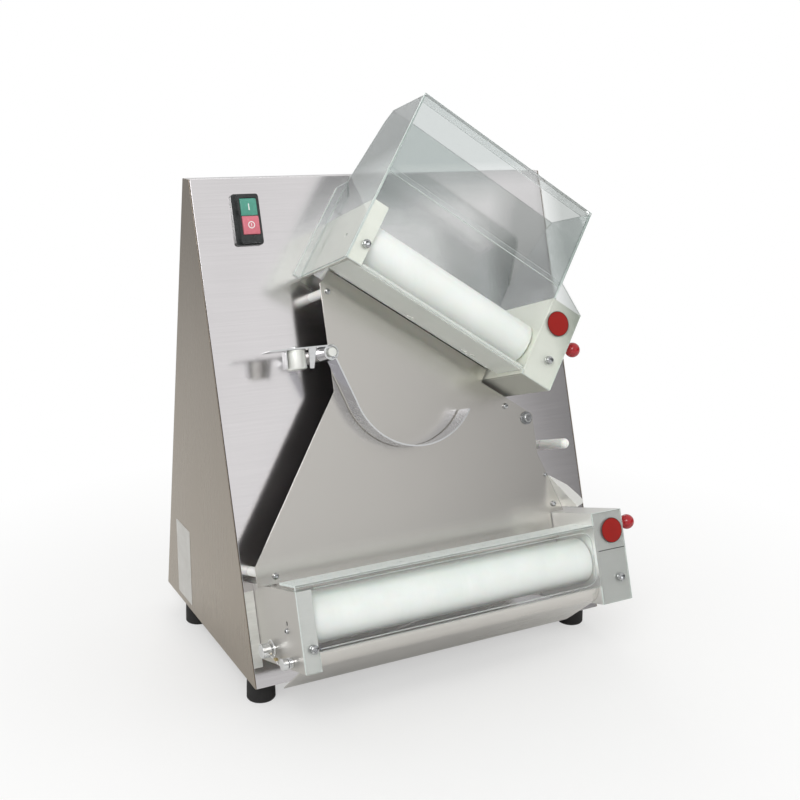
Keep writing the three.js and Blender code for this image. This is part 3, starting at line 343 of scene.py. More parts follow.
# Glass-filled nylon of the switch frame: near black, glossy, with a fine moulded texture
SWITCH_PLASTIC = grained(
    "moulded_black_nylon", "#2A2D2D", "#1E2121", (0.22, 0.34), 0.7, 0.02, blotch=10, IOR=1.53
)
# Polycarbonate button caps, moulded glossy and slightly see-through in depth
START_GREEN = grained(
    "green_polycarbonate", "#4FA08C", "#43907D", (0.18, 0.28), 5, 0.01, blotch=12, IOR=1.58, Coat_Weight=0.4
)
STOP_RED = grained(
    "red_polycarbonate", "#DE7886", "#D36C7B", (0.18, 0.28), 5, 0.01, blotch=12, IOR=1.58, Coat_Weight=0.4
)
# Printed marks on the buttons: plain white ink, a little uneven
MARK_WHITE = grained("white_ink", "#F7F8F6", "#E9EBE8", (0.4, 0.5), 0.8, 0.01, blotch=3, IOR=1.5)
# Phenolic ball knobs: polished deep red with a wet gloss
KNOB_RED = grained(
    "polished_red_phenolic", "#B01420", "#9A0F1A", (0.12, 0.22), 6, 0.004, blotch=14, IOR=1.5, Coat_Weight=0.2
)
# Red vinyl discs, matt, with the slight orange peel of a printed film
DISC_RED = grained(
    "red_vinyl", "#981108", "#8C0E07", (0.5, 0.62), 1.2, 0.01, blotch=12, IOR=1.5, Specular_IOR_Level=0.3
)
# Baked enamel of the gearmotor: blue grey with orange peel
MOTOR_ENAMEL = grained(
    "baked_enamel", "#4A6077", "#3A4C60", (0.3, 0.42), 2.5, 0.05, blotch=40, IOR=1.5, Coat_Weight=0.3
)
# Bare rating plate of matt anodised aluminium foil
PLATE_FOIL = grained(
    "anodised_aluminium_foil", "#DAD9D6", "#C9C7C3", (0.42, 0.56), (0.8, 40, 0.8), 0.006, blotch=25,
    Metallic=0.6,
)
# Cast acrylic sheet, 3 mm, rubbed by cleaning: nearly colourless, with a haze of wiping marks
CLEAR_ACRYLIC = acrylic(
    "cast_acrylic", "#FDFEFE", "#F7F9F9", (0.01, 0.05), 25, 0.002, "#FDFEFE", blotch=80
)
# The same sheet, greyed towards the top and the right of the hopper, where it looks grey
GREY_ACRYLIC = acrylic("cast_acrylic_top_greyed", "#FEFFFF", "#FAFCFB", (0.02, 0.08), 25, 0.002, "#FDFEFE")
FACE_FOOT = FACE.translation.dot(UP_FACE)
fade(GREY_ACRYLIC, "#D6DBDA", "Object", UP_FACE, (FACE_FOOT + 590.0) / MM, (FACE_FOOT + 622.0) / MM)
fade(GREY_ACRYLIC, "#C6CAC8", "Object", (1, 0, 0), (MIDDLE_X + 150.0) / MM, (MIDDLE_X + 190.0) / MM)
# The hopper's right end sheet, smoked all over
SMOKED_ACRYLIC = acrylic("cast_acrylic_grey", "#D3D8D7", "#C9CFCE", (0.02, 0.08), 25, 0.002, "#E6E9E9")
# The hopper's left end sheet, with painted shade that darkens it towards its top
END_ACRYLIC = acrylic("cast_acrylic_end_shaded_top", "#FBFDFC", "#F5F8F7", (0.02, 0.08), 25, 0.002, "#F2F4F4")
UNIT_FOOT = UPPER["place"].translation.dot(UNIT_UP)
fade(END_ACRYLIC, "#919695", "Object", UNIT_UP, (UNIT_FOOT + 95.0) / MM, (UNIT_FOOT + 170.0) / MM)
# Acrylic gone milky by flour and cleaning, beside the rollers
MILKY_ACRYLIC = acrylic(
    "milky_acrylic", "#F6F8F3", "#EEF1EC", (0.2, 0.28), 20, 0.001, "#D8DAD8", clearness=0.5
)
# Sawn and flame-polished acrylic edge: it gathers light and looks whitish
ACRYLIC_EDGE = grained("acrylic_edge", "#EEF4F1", "#DCE6E2", (0.25, 0.4), 1.5, 0.01, blotch=10, IOR=1.49)

NODE_FINISH = {
    SHADED_SIDE_STEEL: ["left_side_panel", "right_side_panel", "base_plate", "back_cover"],
    FACE_STEEL: ["face_plate"],
    SLIDE_STEEL: ["slide_plate"],
    UNIT_STEEL["upper"]: ["upper_left_cheek", "upper_right_cheek", "upper_gear_cover"],
    UNIT_STEEL["lower"]: ["lower_right_cheek", "lower_gear_cover"],
    SHADED_CHEEK_STEEL: ["lower_left_cheek"],
    BRIGHT_STEEL: ["upper_scraper", "lower_scraper"],
    MACHINED_STEEL: [
        "upper_gear_pulley", "upper_front_gear", "lower_gear_pulley", "lower_front_gear",
        "drive_shaft", "countershaft", "countershaft_bracket", "motor_bracket",
        "upper_gap_lever", "lower_gap_lever",
    ],
    CAST_ALUMINIUM: [
        "upper_left_bearing_block", "upper_right_bearing_block",
        "lower_left_bearing_block", "lower_right_bearing_block",
    ],
    BELT_RUBBER: ["lower_drive_belt", "riser_belt", "upper_drive_belt"],
    MOTOR_ENAMEL: ["gear_motor"],
}

# Mesh shapes, in mm


def arc(centre, radius, start, end, steps):
    """Points of an arc, from start to end in degrees."""
    turns = [radians(start + (end - start) * i / steps) for i in range(steps + 1)]
    return [(centre[0] + radius * cos(t), centre[1] + radius * sin(t)) for t in turns]


def rounded(low, high, radius, steps=6):
    """A rectangle with round corners, anticlockwise."""
    left, right = low[0] + radius, high[0] - radius
    bottom, top = low[1] + radius, high[1] - radius
    corners = [(right, bottom), (right, top), (left, top), (left, bottom)]
    return [p for i, c in enumerate(corners) for p in arc(c, radius, 90 * i - 90, 90 * i, steps)]


def ring(radius, steps, across, up, out):
    """Points of an upright ring round a place, for a closed wire."""
    turns = [2 * pi * i / steps for i in range(steps)]
    return [(across, up + radius * sin(t), out + radius * cos(t)) for t in turns]


def strip(path, thickness):
    """The outline of a bent sheet on the right-hand side of its path."""
    far = []
    for i, point in enumerate(path):
        before, after = path[max(i - 1, 0)], path[min(i + 1, len(path) - 1)]
        length = hypot(after[0] - before[0], after[1] - before[1])
        step = (after[0] - before[0]) / length, (after[1] - before[1]) / length
        far.append((point[0] + step[1] * thickness, point[1] - step[0] * thickness))
    return [*path, *reversed(far)]


def turned(bm, profile, place=Matrix(), steps=48, material=0):
    """A body turned from [along, radius] pairs about the z axis of its place."""
    turns = [2 * pi * i / steps for i in range(steps)]
    rings = []
    for along, radius in profile:
        points = [(radius * cos(t), radius * sin(t), along) for t in turns] if radius else [(0, 0, along)]
        rings.append([bm.verts.new(place @ Vector(point)) for point in points])
    pairs = list(zip(rings, rings[1:]))
    if len(rings[0]) > 1:
        pairs.append((rings[-1], rings[0]))
    for first, second in pairs:
        for i in range(steps):
            j = (i + 1) % steps
            loop = [first[i % len(first)], first[j % len(first)], second[j % len(second)]]
            loop = list(dict.fromkeys([*loop, second[i % len(second)]]))
            if len(loop) > 2:
                bm.faces.new(loop).material_index = material


def plate(bm, outline, low, high, place=Matrix(), holes=(), material=0, rim=None):
    """A flat plate cut from an outline, from low to high along the z axis of its place."""
    loops = [outline, *holes]
    flat = [point for loop in loops for point in loop]
    levels = [[bm.verts.new(place @ Vector((x, y, z))) for x, y in flat] for z in (low, high)]
    triangles = tessellate_polygon([[Vector((x, y, 0)) for x, y in loop] for loop in loops])
    for verts in levels:
        for triangle in triangles:
            bm.faces.new([verts[i] for i in triangle]).material_index = material
    start = 0
    for loop in loops:
        for i in range(len(loop)):
            a, b = start + i, start + (i + 1) % len(loop)
            side = bm.faces.new([levels[0][a], levels[0][b], levels[1][b], levels[1][a]])
            side.material_index = material if rim is None else rim
        start += len(loop)


def block(bm, low, high, material=0, rim=None):
    """A cuboid between two corners."""
    (x0, y0, z0), (x1, y1, z1) = low, high
    plate(bm, [(x0, y0), (x1, y0), (x1, y1), (x0, y1)], z0, z1, material=material, rim=rim)


def finished_mesh(bm, name, sharp=35.0):
    """The shape as a mesh, with its faces outwards and smooth up to the sharp angle."""
    bmesh.ops.recalc_face_normals(bm, faces=bm.faces)
    mesh = bpy.data.meshes.new(name)
    bm.to_mesh(mesh)
    bm.free()
    return smoothed(mesh, sharp)


def smoothed(mesh, sharp):
    mesh.polygons.foreach_set("use_smooth", [True] * len(mesh.polygons))
    mesh.set_sharp_from_angle(angle=radians(sharp))
    return mesh


def soften(piece, edge, segments=2):
    """Rounds the sharp edges of a piece."""
    bevel = piece.modifiers.new("soft_edge", "BEVEL")
    bevel.width = edge / MM
    bevel.segments = segments
    bevel.limit_method = "ANGLE"
    bevel.angle_limit = radians(40)
    bevel.harden_normals = True


def add_object(name, data):
    made = bpy.data.objects.new(name, data)
    bpy.context.scene.collection.objects.link(made)
    return made


def add_piece(
    name, shape, place, materials, nodes=(), body="cabinet", slot=None, edge=0.0, segments=2, sharp=35.0
):
    """Puts a shape made in mm in its place, as a piece that rides on its body and may stand for CAD nodes."""
    mesh = finished_mesh(shape, name, sharp) if isinstance(shape, bmesh.types.BMesh) else shape
    mesh.transform(Matrix.Scale(1 / MM, 4) @ place)
    if not mesh.materials:
        for material in materials:
            mesh.materials.append(material)
    piece = add_object(name, mesh)
    if edge:
        soften(piece, edge, segments)
    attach(piece, BODY_OF[nodes[0]] if nodes else body)
    if nodes:
        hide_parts(*nodes)


def add_turned(name, profiles, place, materials, steps, **rest):
    """Adds a piece of turned bodies, each with its number of steps and its material."""
    bm = bmesh.new()
    for index, (profile, count) in enumerate(zip(profiles, steps)):
        turned(bm, profile, steps=count, material=index)
    add_piece(name, bm, place, materials, **rest)


# Geometry Nodes trees


def new_tree(name, **inputs):
    """An empty tree with a geometry and a finish going in, besides the inputs, and a geometry coming out."""
    tree = bpy.data.node_groups.new(name, "GeometryNodeTree")
    for label, kind in {"Geometry": "Geometry", **inputs, "Finish": "Material"}.items():
        tree.interface.new_socket(label, in_out="INPUT", socket_type="NodeSocket" + kind)
    tree.interface.new_socket("Geometry", in_out="OUTPUT", socket_type="NodeSocketGeometry")
    return tree, tree.nodes.new("NodeGroupInput").outputs


def close_tree(tree, geometry, finish):
    """Ends a tree with real geometry and its material."""
    real = add_node(tree, "GeometryNodeRealizeInstances", {"Geometry": geometry}).outputs[0]
    painted = add_node(tree, "GeometryNodeSetMaterial", {"Geometry": real, "Material": finish}).outputs[0]
    add_node(tree, "NodeGroupOutput", {"Geometry": painted})
    return tree


def copies(tree, source, points, **sockets):
    """Copies of an object on points."""
    shape = add_node(tree, "GeometryNodeObjectInfo", {"Object": source}).outputs["Geometry"]
    inputs = {"Points": points, "Instance": shape, **sockets}
    return add_node(tree, "GeometryNodeInstanceOnPoints", inputs).outputs[0]


def rotation_of(tree, euler):
    return add_node(tree, "FunctionNodeEulerToRotation", {"Euler": euler}).outputs[0]


def fastener_tree():
    """Puts a fastener on each point, turned by the point's own turn and scaled to its size."""
    tree, given = new_tree("fasteners", Head="Object", Size="Float")
    turn = add_node(
        tree, "GeometryNodeInputNamedAttribute", {"Name": "turn"}, data_type="FLOAT_VECTOR"
    ).outputs[0]
    heads = copies(
        tree, given["Head"], given["Geometry"], Rotation=rotation_of(tree, turn), Scale=given["Size"]
    )
    return close_tree(tree, heads, given["Finish"])


def ring_tree():
    """Repeats a rib round the z axis."""
    tree, given = new_tree("ring_of_ribs", Rib="Object", Count="Int")
    points = add_node(tree, "GeometryNodePoints", {"Count": given["Count"]}).outputs[0]
    index = add_node(tree, "GeometryNodeInputIndex").outputs[0]
    angle = maths(tree, "MULTIPLY", maths(tree, "DIVIDE", index, given["Count"]), 2 * pi)
    euler = add_node(tree, "ShaderNodeCombineXYZ", {"Z": angle}).outputs[0]
    ribs = copies(tree, given["Rib"], points, Rotation=rotation_of(tree, euler))
    joined = add_node(tree, "GeometryNodeJoinGeometry")
    for part in (given["Geometry"], ribs):
        tree.links.new(part, joined.inputs[0])
    return close_tree(tree, joined.outputs[0], given["Finish"])


def grid_tree():
    """Repeats a pressed louvre in rows and two columns."""
    tree, given = new_tree("louvre_grid", Louvre="Object", Rows="Int", Pitch="Float", Spread="Float")
    height = maths(tree, "MULTIPLY", maths(tree, "SUBTRACT", given["Rows"], 1.0), given["Pitch"])
    sizes = {"Size X": given["Spread"], "Size Y": height, "Vertices X": 2, "Vertices Y": given["Rows"]}
    grid = add_node(tree, "GeometryNodeMeshGrid", sizes).outputs[0]
    return close_tree(tree, copies(tree, given["Louvre"], grid), given["Finish"])


def wire_tree():
    """Draws a round wire along a path of edges."""
    tree, given = new_tree("wire", Radius="Float", Sides="Int")
    path = add_node(tree, "GeometryNodeMeshToCurve", {"Mesh": given["Geometry"]}).outputs[0]
    section = add_node(
        tree, "GeometryNodeCurvePrimitiveCircle", {"Resolution": given["Sides"], "Radius": given["Radius"]}
    ).outputs[0]
    inputs = {"Curve": path, "Profile Curve": section, "Fill Caps": True}
    drawn = add_node(tree, "GeometryNodeCurveToMesh", inputs).outputs[0]
    return close_tree(tree, drawn, given["Finish"])


TREES = {}


def grown(tree_name, mesh, values):
    """Runs a tree on a mesh and gives back a plain mesh. Meshes among the values go in as objects."""
    holder = add_object("holder", mesh)
    values = {k: add_object("source", v) if isinstance(v, bpy.types.Mesh) else v for k, v in values.items()}
    modifier = holder.modifiers.new("tree", "NODES")
    modifier.node_group = TREES[tree_name]
    for item in modifier.node_group.interface.items_tree:
        if item.in_out == "INPUT" and item.name in values:
            modifier[item.identifier] = values[item.name]
    graph = bpy.context.evaluated_depsgraph_get()
    made = bpy.data.meshes.new_from_object(holder.evaluated_get(graph))
    for done in (holder, *values.values()):
        if isinstance(done, bpy.types.Object):
            bpy.data.objects.remove(done)
    return made


def grow_wire(name, path, radius, place, material, closed=False, slot="machined_steel"):
    """A wire piece along a path in mm."""
    mesh = bpy.data.meshes.new(name)
    edges = [(i, i + 1) for i in range(len(path) - 1)]
    if closed:
        edges.append((len(path) - 1, 0))
    mesh.from_pydata(path, edges, [])
    made = grown("wire", mesh, {"Radius": radius, "Sides": 12, "Finish": material})
    add_piece(name, smoothed(made, 50), place, [material], slot=slot)


def grow_fasteners(name, head, spots, size, material, body="cabinet"):
    """Copies of a head at spots, each a place whose z axis the head stands on."""
    mesh = bpy.data.meshes.new(name)
    mesh.from_pydata([spot.translation for spot in spots], [], [])
    turns = mesh.attributes.new("turn", "FLOAT_VECTOR", "POINT")
    turns.data.foreach_set("vector", [angle for spot in spots for angle in spot.to_euler()])
    made = grown("fasteners", mesh, {"Head": head, "Size": size, "Finish": material})
    add_piece(name, made, Matrix(), [material], body=body, slot="machined_steel")


def dome_head():
    """A dome head screw of 1 mm head radius, with its hexagon socket."""
    bm = bmesh.new()
    steps = 24
    rings = []
    for radius, height, hexagon in (
        (1.0, 0.0, 0), (1.0, 0.2, 0), (0.95, 0.5, 0), (0.82, 0.78, 0), (0.64, 0.9, 0),
        (0.52, 0.92, 1), (0.52, 0.1, 1),
    ):
        level = []
        for i in range(steps):
            turn = 2 * pi * i / steps
            reach = radius * (cos(pi / 6) / cos((turn % (pi / 3)) - pi / 6) if hexagon else 1.0)
            level.append(bm.verts.new((reach * cos(turn), reach * sin(turn), height)))
        rings.append(level)
    for first, second in zip(rings, rings[1:]):
        for i in range(steps):
            j = (i + 1) % steps
            bm.faces.new([first[i], first[j], second[j], second[i]])
    bm.faces.new(rings[-1])
    bm.faces.new(list(reversed(rings[0])))
    return finished_mesh(bm, "dome_head", 30)


def hex_head():
    """A hexagon head bolt of 1 mm radius on its washer."""
    bm = bmesh.new()
    turned(bm, [(0, 0), (0, 1.45), (0.16, 1.5), (0.28, 1.45), (0.28, 0)], steps=32)
    turned(bm, [(0.2, 0), (0.2, 1.0), (0.9, 1.0), (1.02, 0.84), (1.02, 0)], steps=6)
    turned(bm, [(1.0, 0), (1.0, 0.8), (1.06, 0.72), (1.06, 0)], steps=24)
    return finished_mesh(bm, "hex_head", 30)


# Settings


class CabinetSettings(PropertyGroup):
    edge: FloatProperty(
        name="Fold radius", description="Outer radius of the folded sheet edges",
        default=0.0009, min=0.0002, max=0.003, unit="LENGTH", precision=5,
    )
    louvre_rise: FloatProperty(
        name="Louvre rise", description="How far the pressed louvres stand out of the back cover",
        default=0.0045, min=0.001, max=0.01, unit="LENGTH", precision=5,
    )
    louvre_rows: IntProperty(
        name="Louvre rows", description="Rows of vents in the back cover", default=4, min=1, max=10
    )
    plate_width: FloatProperty(
        name="Rating plate width", description="Width of the bare rating plate",
        default=0.060, min=0.01, max=0.1, unit="LENGTH", precision=4,
    )
    plate_height: FloatProperty(
        name="Rating plate height", description="Height of the bare rating plate",
        default=0.112, min=0.01, max=0.2, unit="LENGTH", precision=4,
    )


class RollerSettings(PropertyGroup):
    end_radius: FloatProperty(
        name="Roller end radius", description="Rounding of the roller ends",
        default=0.003, min=0.001, max=0.006, unit="LENGTH", precision=5,
    )
    knob_radius: FloatProperty(
        name="Knob radius", description="Radius of the red ball knobs",
        default=0.010, min=0.006, max=0.012, unit="LENGTH", precision=5,
    )
    disc_radius: FloatProperty(
        name="Disc radius", description="Radius of the red discs on the unit fronts",
        default=0.0158, min=0.005, max=0.02, unit="LENGTH", precision=5,
    )


class GuardSettings(PropertyGroup):
    ridge: FloatProperty(
        name="Ridge radius", description="Section radius of the moulded ridge round the roller window",
        default=0.0007, min=0.0003, max=0.003, unit="LENGTH", precision=5,
    )
    window_radius: FloatProperty(
        name="Window corner radius", description="Corner radius of the roller window",
        default=0.016, min=0.005, max=0.03, unit="LENGTH", precision=4,
    )


class RetainerSettings(PropertyGroup):
    knurls: IntProperty(
        name="Knurls", description="Ribs round the retaining knob", default=26, min=8, max=60
    )
    wire_radius: FloatProperty(
        name="Wire radius", description="Section radius of the retaining wire",
        default=0.0009, min=0.0003, max=0.002, unit="LENGTH", precision=5,
    )


class StageSettings(PropertyGroup):
    floor_colour: FloatVectorProperty(
        name="Floor colour", description="Colour of the plain floor", subtype="COLOR", size=4,
        min=0.0, max=1.0, default=hex_colour("#F4F4F2"),
    )
    lens: FloatProperty(
        name="Lens", description="Focal length of the camera in mm, on a 36 mm sensor", default=51.3,
        min=20.0, max=150.0,
    )


class SheeterOperator:
    """What the operators that build the machine share."""

    bl_options = {"REGISTER", "UNDO"}


class SHEETER_OT_sheet_metal(SheeterOperator, Operator):
    """Gives the CAD nodes that stay their materials, and rounds the folds of the sheet metal"""

    bl_idname = "sheeter.sheet_metal"
    bl_label = "Sheet metal"

    def execute(self, context):
        for material, names in NODE_FINISH.items():
            for name in names:
                for slot in frame["nodes"][name].material_slots:
                    slot.material = material
        for width, names in (
            (0.7, ["left_side_panel", "right_side_panel"]),
            (context.scene.sheeter_cabinet.edge * MM, ["face_plate", "upper_gear_cover", "lower_gear_cover"]),
            (0.6, ["upper_left_cheek", "lower_left_cheek", "upper_right_cheek", "lower_right_cheek"]),
            (0.5, ["back_cover", "base_plate", "slide_plate", "upper_gap_lever", "lower_gap_lever"]),
        ):
            for name in names:
                node = frame["nodes"][name]
                node.modifiers.new("weld", "WELD").merge_threshold = WELD_GAP / MM
                soften(node, width)
        return {"FINISHED"}


class SHEETER_OT_cabinet_trim(SheeterOperator, Operator):
    """Adds the feet, the bare rating plate, the painted highlight strip beside the lower unit, the louvres
    and the gland
    """

    bl_idname = "sheeter.cabinet_trim"
    bl_label = "Cabinet trim"

    def execute(self, context):
        given = context.scene.sheeter_cabinet
        self.make_feet()
        half, high = given.plate_width * MM / 2, given.plate_height * MM
        bm = bmesh.new()
        plate(bm, rounded((-half, 0), (half, high), 2.0), 0.0, 0.35)
        middle_y, low_z = 277.0, 43.0
        place = CABINET @ frame_of((0, -1, 0), (0, 0, 1), (-1, 0, 0), (-BODY_WIDTH / 2, middle_y, low_z))
        add_piece("rating_plate", bm, place, [PLATE_FOIL], slot="aluminium", edge=0.1)
        # A pale strip laid on the face beside the lower unit: a painted highlight on the face's left edge
        bm = bmesh.new()
        block(bm, (-263.5, 26.0, GAP), (-251.5, 122.0, 0.7))
        add_piece("face_margin", bm, FACE, [TURNED_ALUMINIUM], slot="cabinet_steel")
        self.make_louvres(given)
        self.make_gland()
        return {"FINISHED"}

    def make_feet(self):
        rubber = [
            (0, 0), (0, 14.5), (0.6, 17.4), (2.2, 18.6), (16.0, 18.3), (30.0, 17.7), (32.2, 17.2),
            (32.7, 16.4), (32.7, 0),
        ]
        washer = [(0.2, 5.0), (0.2, 8.5), (1.6, 8.5), (1.6, 5.0)]
        for name in ("front_left_foot", "front_right_foot", "back_left_foot", "back_right_foot"):
            low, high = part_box(name)
            add_turned(
                name + "_rubber", (rubber, washer), at(*((low + high) * MM / 2).xy, 0),
                [BLACK_RUBBER, MACHINED_STEEL], (56, 40), nodes=[name], slot="black_rubber", sharp=30,
            )

    def make_louvres(self, given):
        rise, rows = given.louvre_rise * MM, given.louvre_rows
        half, depth, wall, pitch, foot = 66.0, 10.0, 0.8, 16.0, 432.0
        turns = [pi / 2 * i / 6 for i in range(1, 7)]
        hood = [(-1.0, 0.0), *[((depth * (1 - cos(t)) / 2 - 1) * 1.6 - 0.4, rise * sin(t)) for t in turns]]
        bm = bmesh.new()
        plate(bm, strip(hood, wall), -half, half, ACROSS_X)
        for end in (-half, half - wall):
            plate(bm, [*hood, (hood[-1][0], 0.0)], end, end + wall, ACROSS_X)
        made = grown("louvres", bpy.data.meshes.new("louvre_start"), {
            "Louvre": finished_mesh(bm, "louvre", 30), "Rows": rows, "Pitch": pitch, "Spread": 220.0,
            "Finish": SHADED_SIDE_STEEL,
        })
        place = BACK @ at(0, foot + (rows - 1) * pitch / 2, 0)
        add_piece("back_louvres", made, place, [SHADED_SIDE_STEEL], slot="cabinet_steel")

    def make_gland(self):
        nut = [
            (0.3, 5.0), (0.3, 12.6), (8.0, 12.6), (9.6, 11.8), (10.4, 10.6), (18.4, 9.4), (20.0, 8.4),
            (20.0, 5.0),
        ]
        bm = bmesh.new()
        turned(bm, nut, steps=48)
        turned(bm, [(-7.8, 5.0), (-7.8, 13), (-1.8, 13), (-1.8, 9), (0.4, 9), (0.4, 5.0)], steps=6)
        turned(bm, [(7.4, 0), (7.4, 5.2), (8.4, 5.2), (8.4, 0)], steps=32)
        rib = bmesh.new()
        block(rib, (12.2, -0.6, 1.2), (13.0, 0.6, 8.2))
        made = grown("ring", finished_mesh(bm, "gland", 30), {
            "Rib": finished_mesh(rib, "gland_rib"), "Count": 24, "Finish": SWITCH_PLASTIC,
        })
        add_piece(
            "gland_body", made, BACK @ at(*GLAND_AT, 0), [SWITCH_PLASTIC], nodes=["cable_gland"],
            slot="black_plastic",
        )


class SHEETER_OT_switch(SheeterOperator, Operator):
    """Builds the push-button switch with its two marked buttons"""

    bl_idname = "sheeter.switch"
    bl_label = "Switch"

    def execute(self, context):
        place = FACE @ at(*SWITCH_AT, 0)
        window = list(reversed(rounded((-11.3, -21.0), (11.3, 26.4), 1.6)))
        waist = [(-13.6, 6.5), (-12.6, 3.0), (-13.6, -0.5)]
        outer = rounded((-14.6, -31.5), (14.6, 31.5), 3.4)
        left = [point for point in outer if point[0] < 0]
        right = [point for point in outer if point[0] > 0]
        split = next(i for i, point in enumerate(right) if point[1] > 0)
        bezel = [
            *right[:split], *[(-x, y) for x, y in reversed(waist)], *right[split:],
            *[point for point in left if point[1] > 0], *waist, *[point for point in left if point[1] < 0],
        ]
        bm = bmesh.new()
        plate(bm, rounded((-19.6, -33), (17.6, 33), 4.5), 0.3, 4.6, holes=[window])
        plate(bm, bezel, 4.4, 11.6, holes=[window])
        plate(bm, rounded((-15, -25), (15, 27.5), 2.0), 0.4, 2.4)
        add_piece(
            "switch_frame", bm, place, [SWITCH_PLASTIC], nodes=["switch_housing"], slot="black_plastic",
            edge=0.9, segments=3,
        )
        self.make_button("start", place @ at(0, 14.6, 0), 11.3, 13.0, START_GREEN, "green_plastic")
        self.make_button("stop", place @ at(0, -8.9, 0), 11.8, 14.5, STOP_RED, "red_plastic")
        return {"FINISHED"}

    def make_button(self, name, place, half, top, material, slot):
        """One push button: a cap with sloped ends, and its plain mark."""
        slope = [
            (-half, 5.8), (half, 5.8), (half, top - 1.6), (half - 3.4, top), (3.4 - half, top),
            (-half, top - 1.2),
        ]
        node = name + "_button"
        bm = bmesh.new()
        plate(bm, slope, -11.0, 11.0, ACROSS_X)
        add_piece(
            name + "_cap", bm, place, [material], nodes=[node], slot=slot, edge=0.8, segments=3, sharp=25
        )
        low, high = top - 0.3, top + 0.08
        bm = bmesh.new()
        if name == "start":
            plate(bm, rounded((-0.65, -4.2), (0.65, 4.2), 0.5, 3), low, high)
        else:
            turned(bm, [(low, 3.5), (low, 4.6), (high, 4.6), (high, 3.5)], steps=40)
            plate(bm, rounded((-0.45, -2.0), (0.45, 2.0), 0.4, 3), low, high)
        add_piece(name + "_mark", bm, place, [MARK_WHITE], body=BODY_OF[node], slot=slot)


class SHEETER_OT_rollers(SheeterOperator, Operator):
    """Turns the four white rollers on their steel shafts"""

    bl_idname = "sheeter.rollers"
    bl_label = "Rollers"

    def execute(self, context):
        bend = context.scene.sheeter_rollers.end_radius * MM
        for unit in UNITS:
            start, end = 21.0, unit["inner"] - 1.0
            for which, out, shaft, first, last in (
                ("back", BACK_OUT, 10.0, CHEEK_CLEAR, unit["inner"] + 40.3),
                ("front", FRONT_OUT, 8.0, 3.6, unit["inner"] + 24.3),
            ):
                bore = shaft - JOINT
                sleeve = [
                    (start, bore), (start, 22), (start + 1.2, 23), (start + 1.2, 25), (start, 26),
                    *arc((start + bend, ROLLER_RADIUS - bend), bend, 180, 90, 6),
                    *arc((end - bend, ROLLER_RADIUS - bend), bend, 90, 0, 6), (end, bore),
                ]
                pin = [
                    (first, 0), (first, shaft - 0.6), (first + 0.6, shaft), (last - 0.6, shaft),
                    (last, shaft - 0.6), (last, 0),
                ]
                node = f"{unit['name']}_{which}_roller"
                add_turned(
                    node + "_turned", (sleeve, pin), unit["place"] @ at(0, unit["roller"], out) @ ALONG_X,
                    [WHITE_PLASTIC, MACHINED_STEEL], (96, 40), nodes=[node], slot="white_nylon", sharp=30,
                )
        return {"FINISHED"}


class SHEETER_OT_hopper(SheeterOperator, Operator):
    """Builds the clear hopper, the milky guard under the upper rollers and the lip of the slide"""

    bl_idname = "sheeter.hopper"
    bl_label = "Hopper"

    def execute(self, context):
        place = UPPER["place"]
        inner, end = UPPER["inner"], UPPER["end"]
        low, high = UPPER["box"]
        left, right = -GAP - GUARD_WALL, inner + GUARD_WALL
        top, shoulder = 242.0, high + 24.0
        back = METAL_FRONT + GAP
        rear = [(104.0, GAP), (150.0, GAP), (236.0, 35.0), (250.0, 48.0)]
        clear, edge, grey, smoked, end_sheet = range(5)
        bm = bmesh.new()
        front = [
            (left, 0), (inner, 0), (inner, low), (end, low), (end, high), (right, shoulder), (right, top),
            (left, top),
        ]
        plate(bm, front, back, UNIT_DEPTH, material=grey, rim=edge)
        bar = (left + 0.2, 126.0, back - 2.0), (right - 0.2, 133.0, back - JOINT)
        block(bm, *bar, material=clear, rim=edge)
        side = [(JOINT, GAP), *rear[1:], (top - GUARD_WALL, back - JOINT), (JOINT, back - JOINT)]
        plate(bm, side, left, -GAP, ACROSS_X, material=end_sheet, rim=edge)
        side[0] = (high + GAP, GAP)
        side[-1] = (high + GAP, back - JOINT)
        plate(bm, side, inner, right, ACROSS_X, material=smoked, rim=edge)
        plate(bm, strip(rear, -GUARD_WALL), -GAP + JOINT, inner - JOINT, ACROSS_X, material=grey, rim=grey)
        block(bm, (-GAP + JOINT, top - GUARD_WALL, UNIT_DEPTH - 20), (inner - JOINT, top, back - JOINT))
        flange = [(-13.3, -4.0), (left + 0.3, -4.0), (left + 0.3, 150.0), (-13.3, 132.0)]
        plate(bm, flange, GAP, GAP + GUARD_WALL, rim=edge)
        add_piece(
            "hopper_panels", bm, place,
            [CLEAR_ACRYLIC, ACRYLIC_EDGE, GREY_ACRYLIC, SMOKED_ACRYLIC, END_ACRYLIC],
            nodes=["upper_hopper"], slot="clear_plastic", edge=0.35, segments=1,
        )
        bm = bmesh.new()
        guard = [(0.0, 80.0), (3.0, 80.0), (3.0, 135.2), (6.0, 135.2), (6.0, 138.4), (0.0, 138.4)]
        plate(bm, guard, CHEEK_CLEAR, inner - GAP, ACROSS_X)
        add_piece(
            "under_guard_panel", bm, place, [MILKY_ACRYLIC], nodes=["upper_under_guard"],
            slot="clear_plastic", edge=0.3, segments=1,
        )
        bm = bmesh.new()
        block(bm, (12.0, -3.2, SLIDE_BACK), (inner - 3.0, 8.0, SLIDE_FRONT))
        add_piece("slide_lip", bm, place, [SLIDE_STEEL], slot="cabinet_steel")
        return {"FINISHED"}


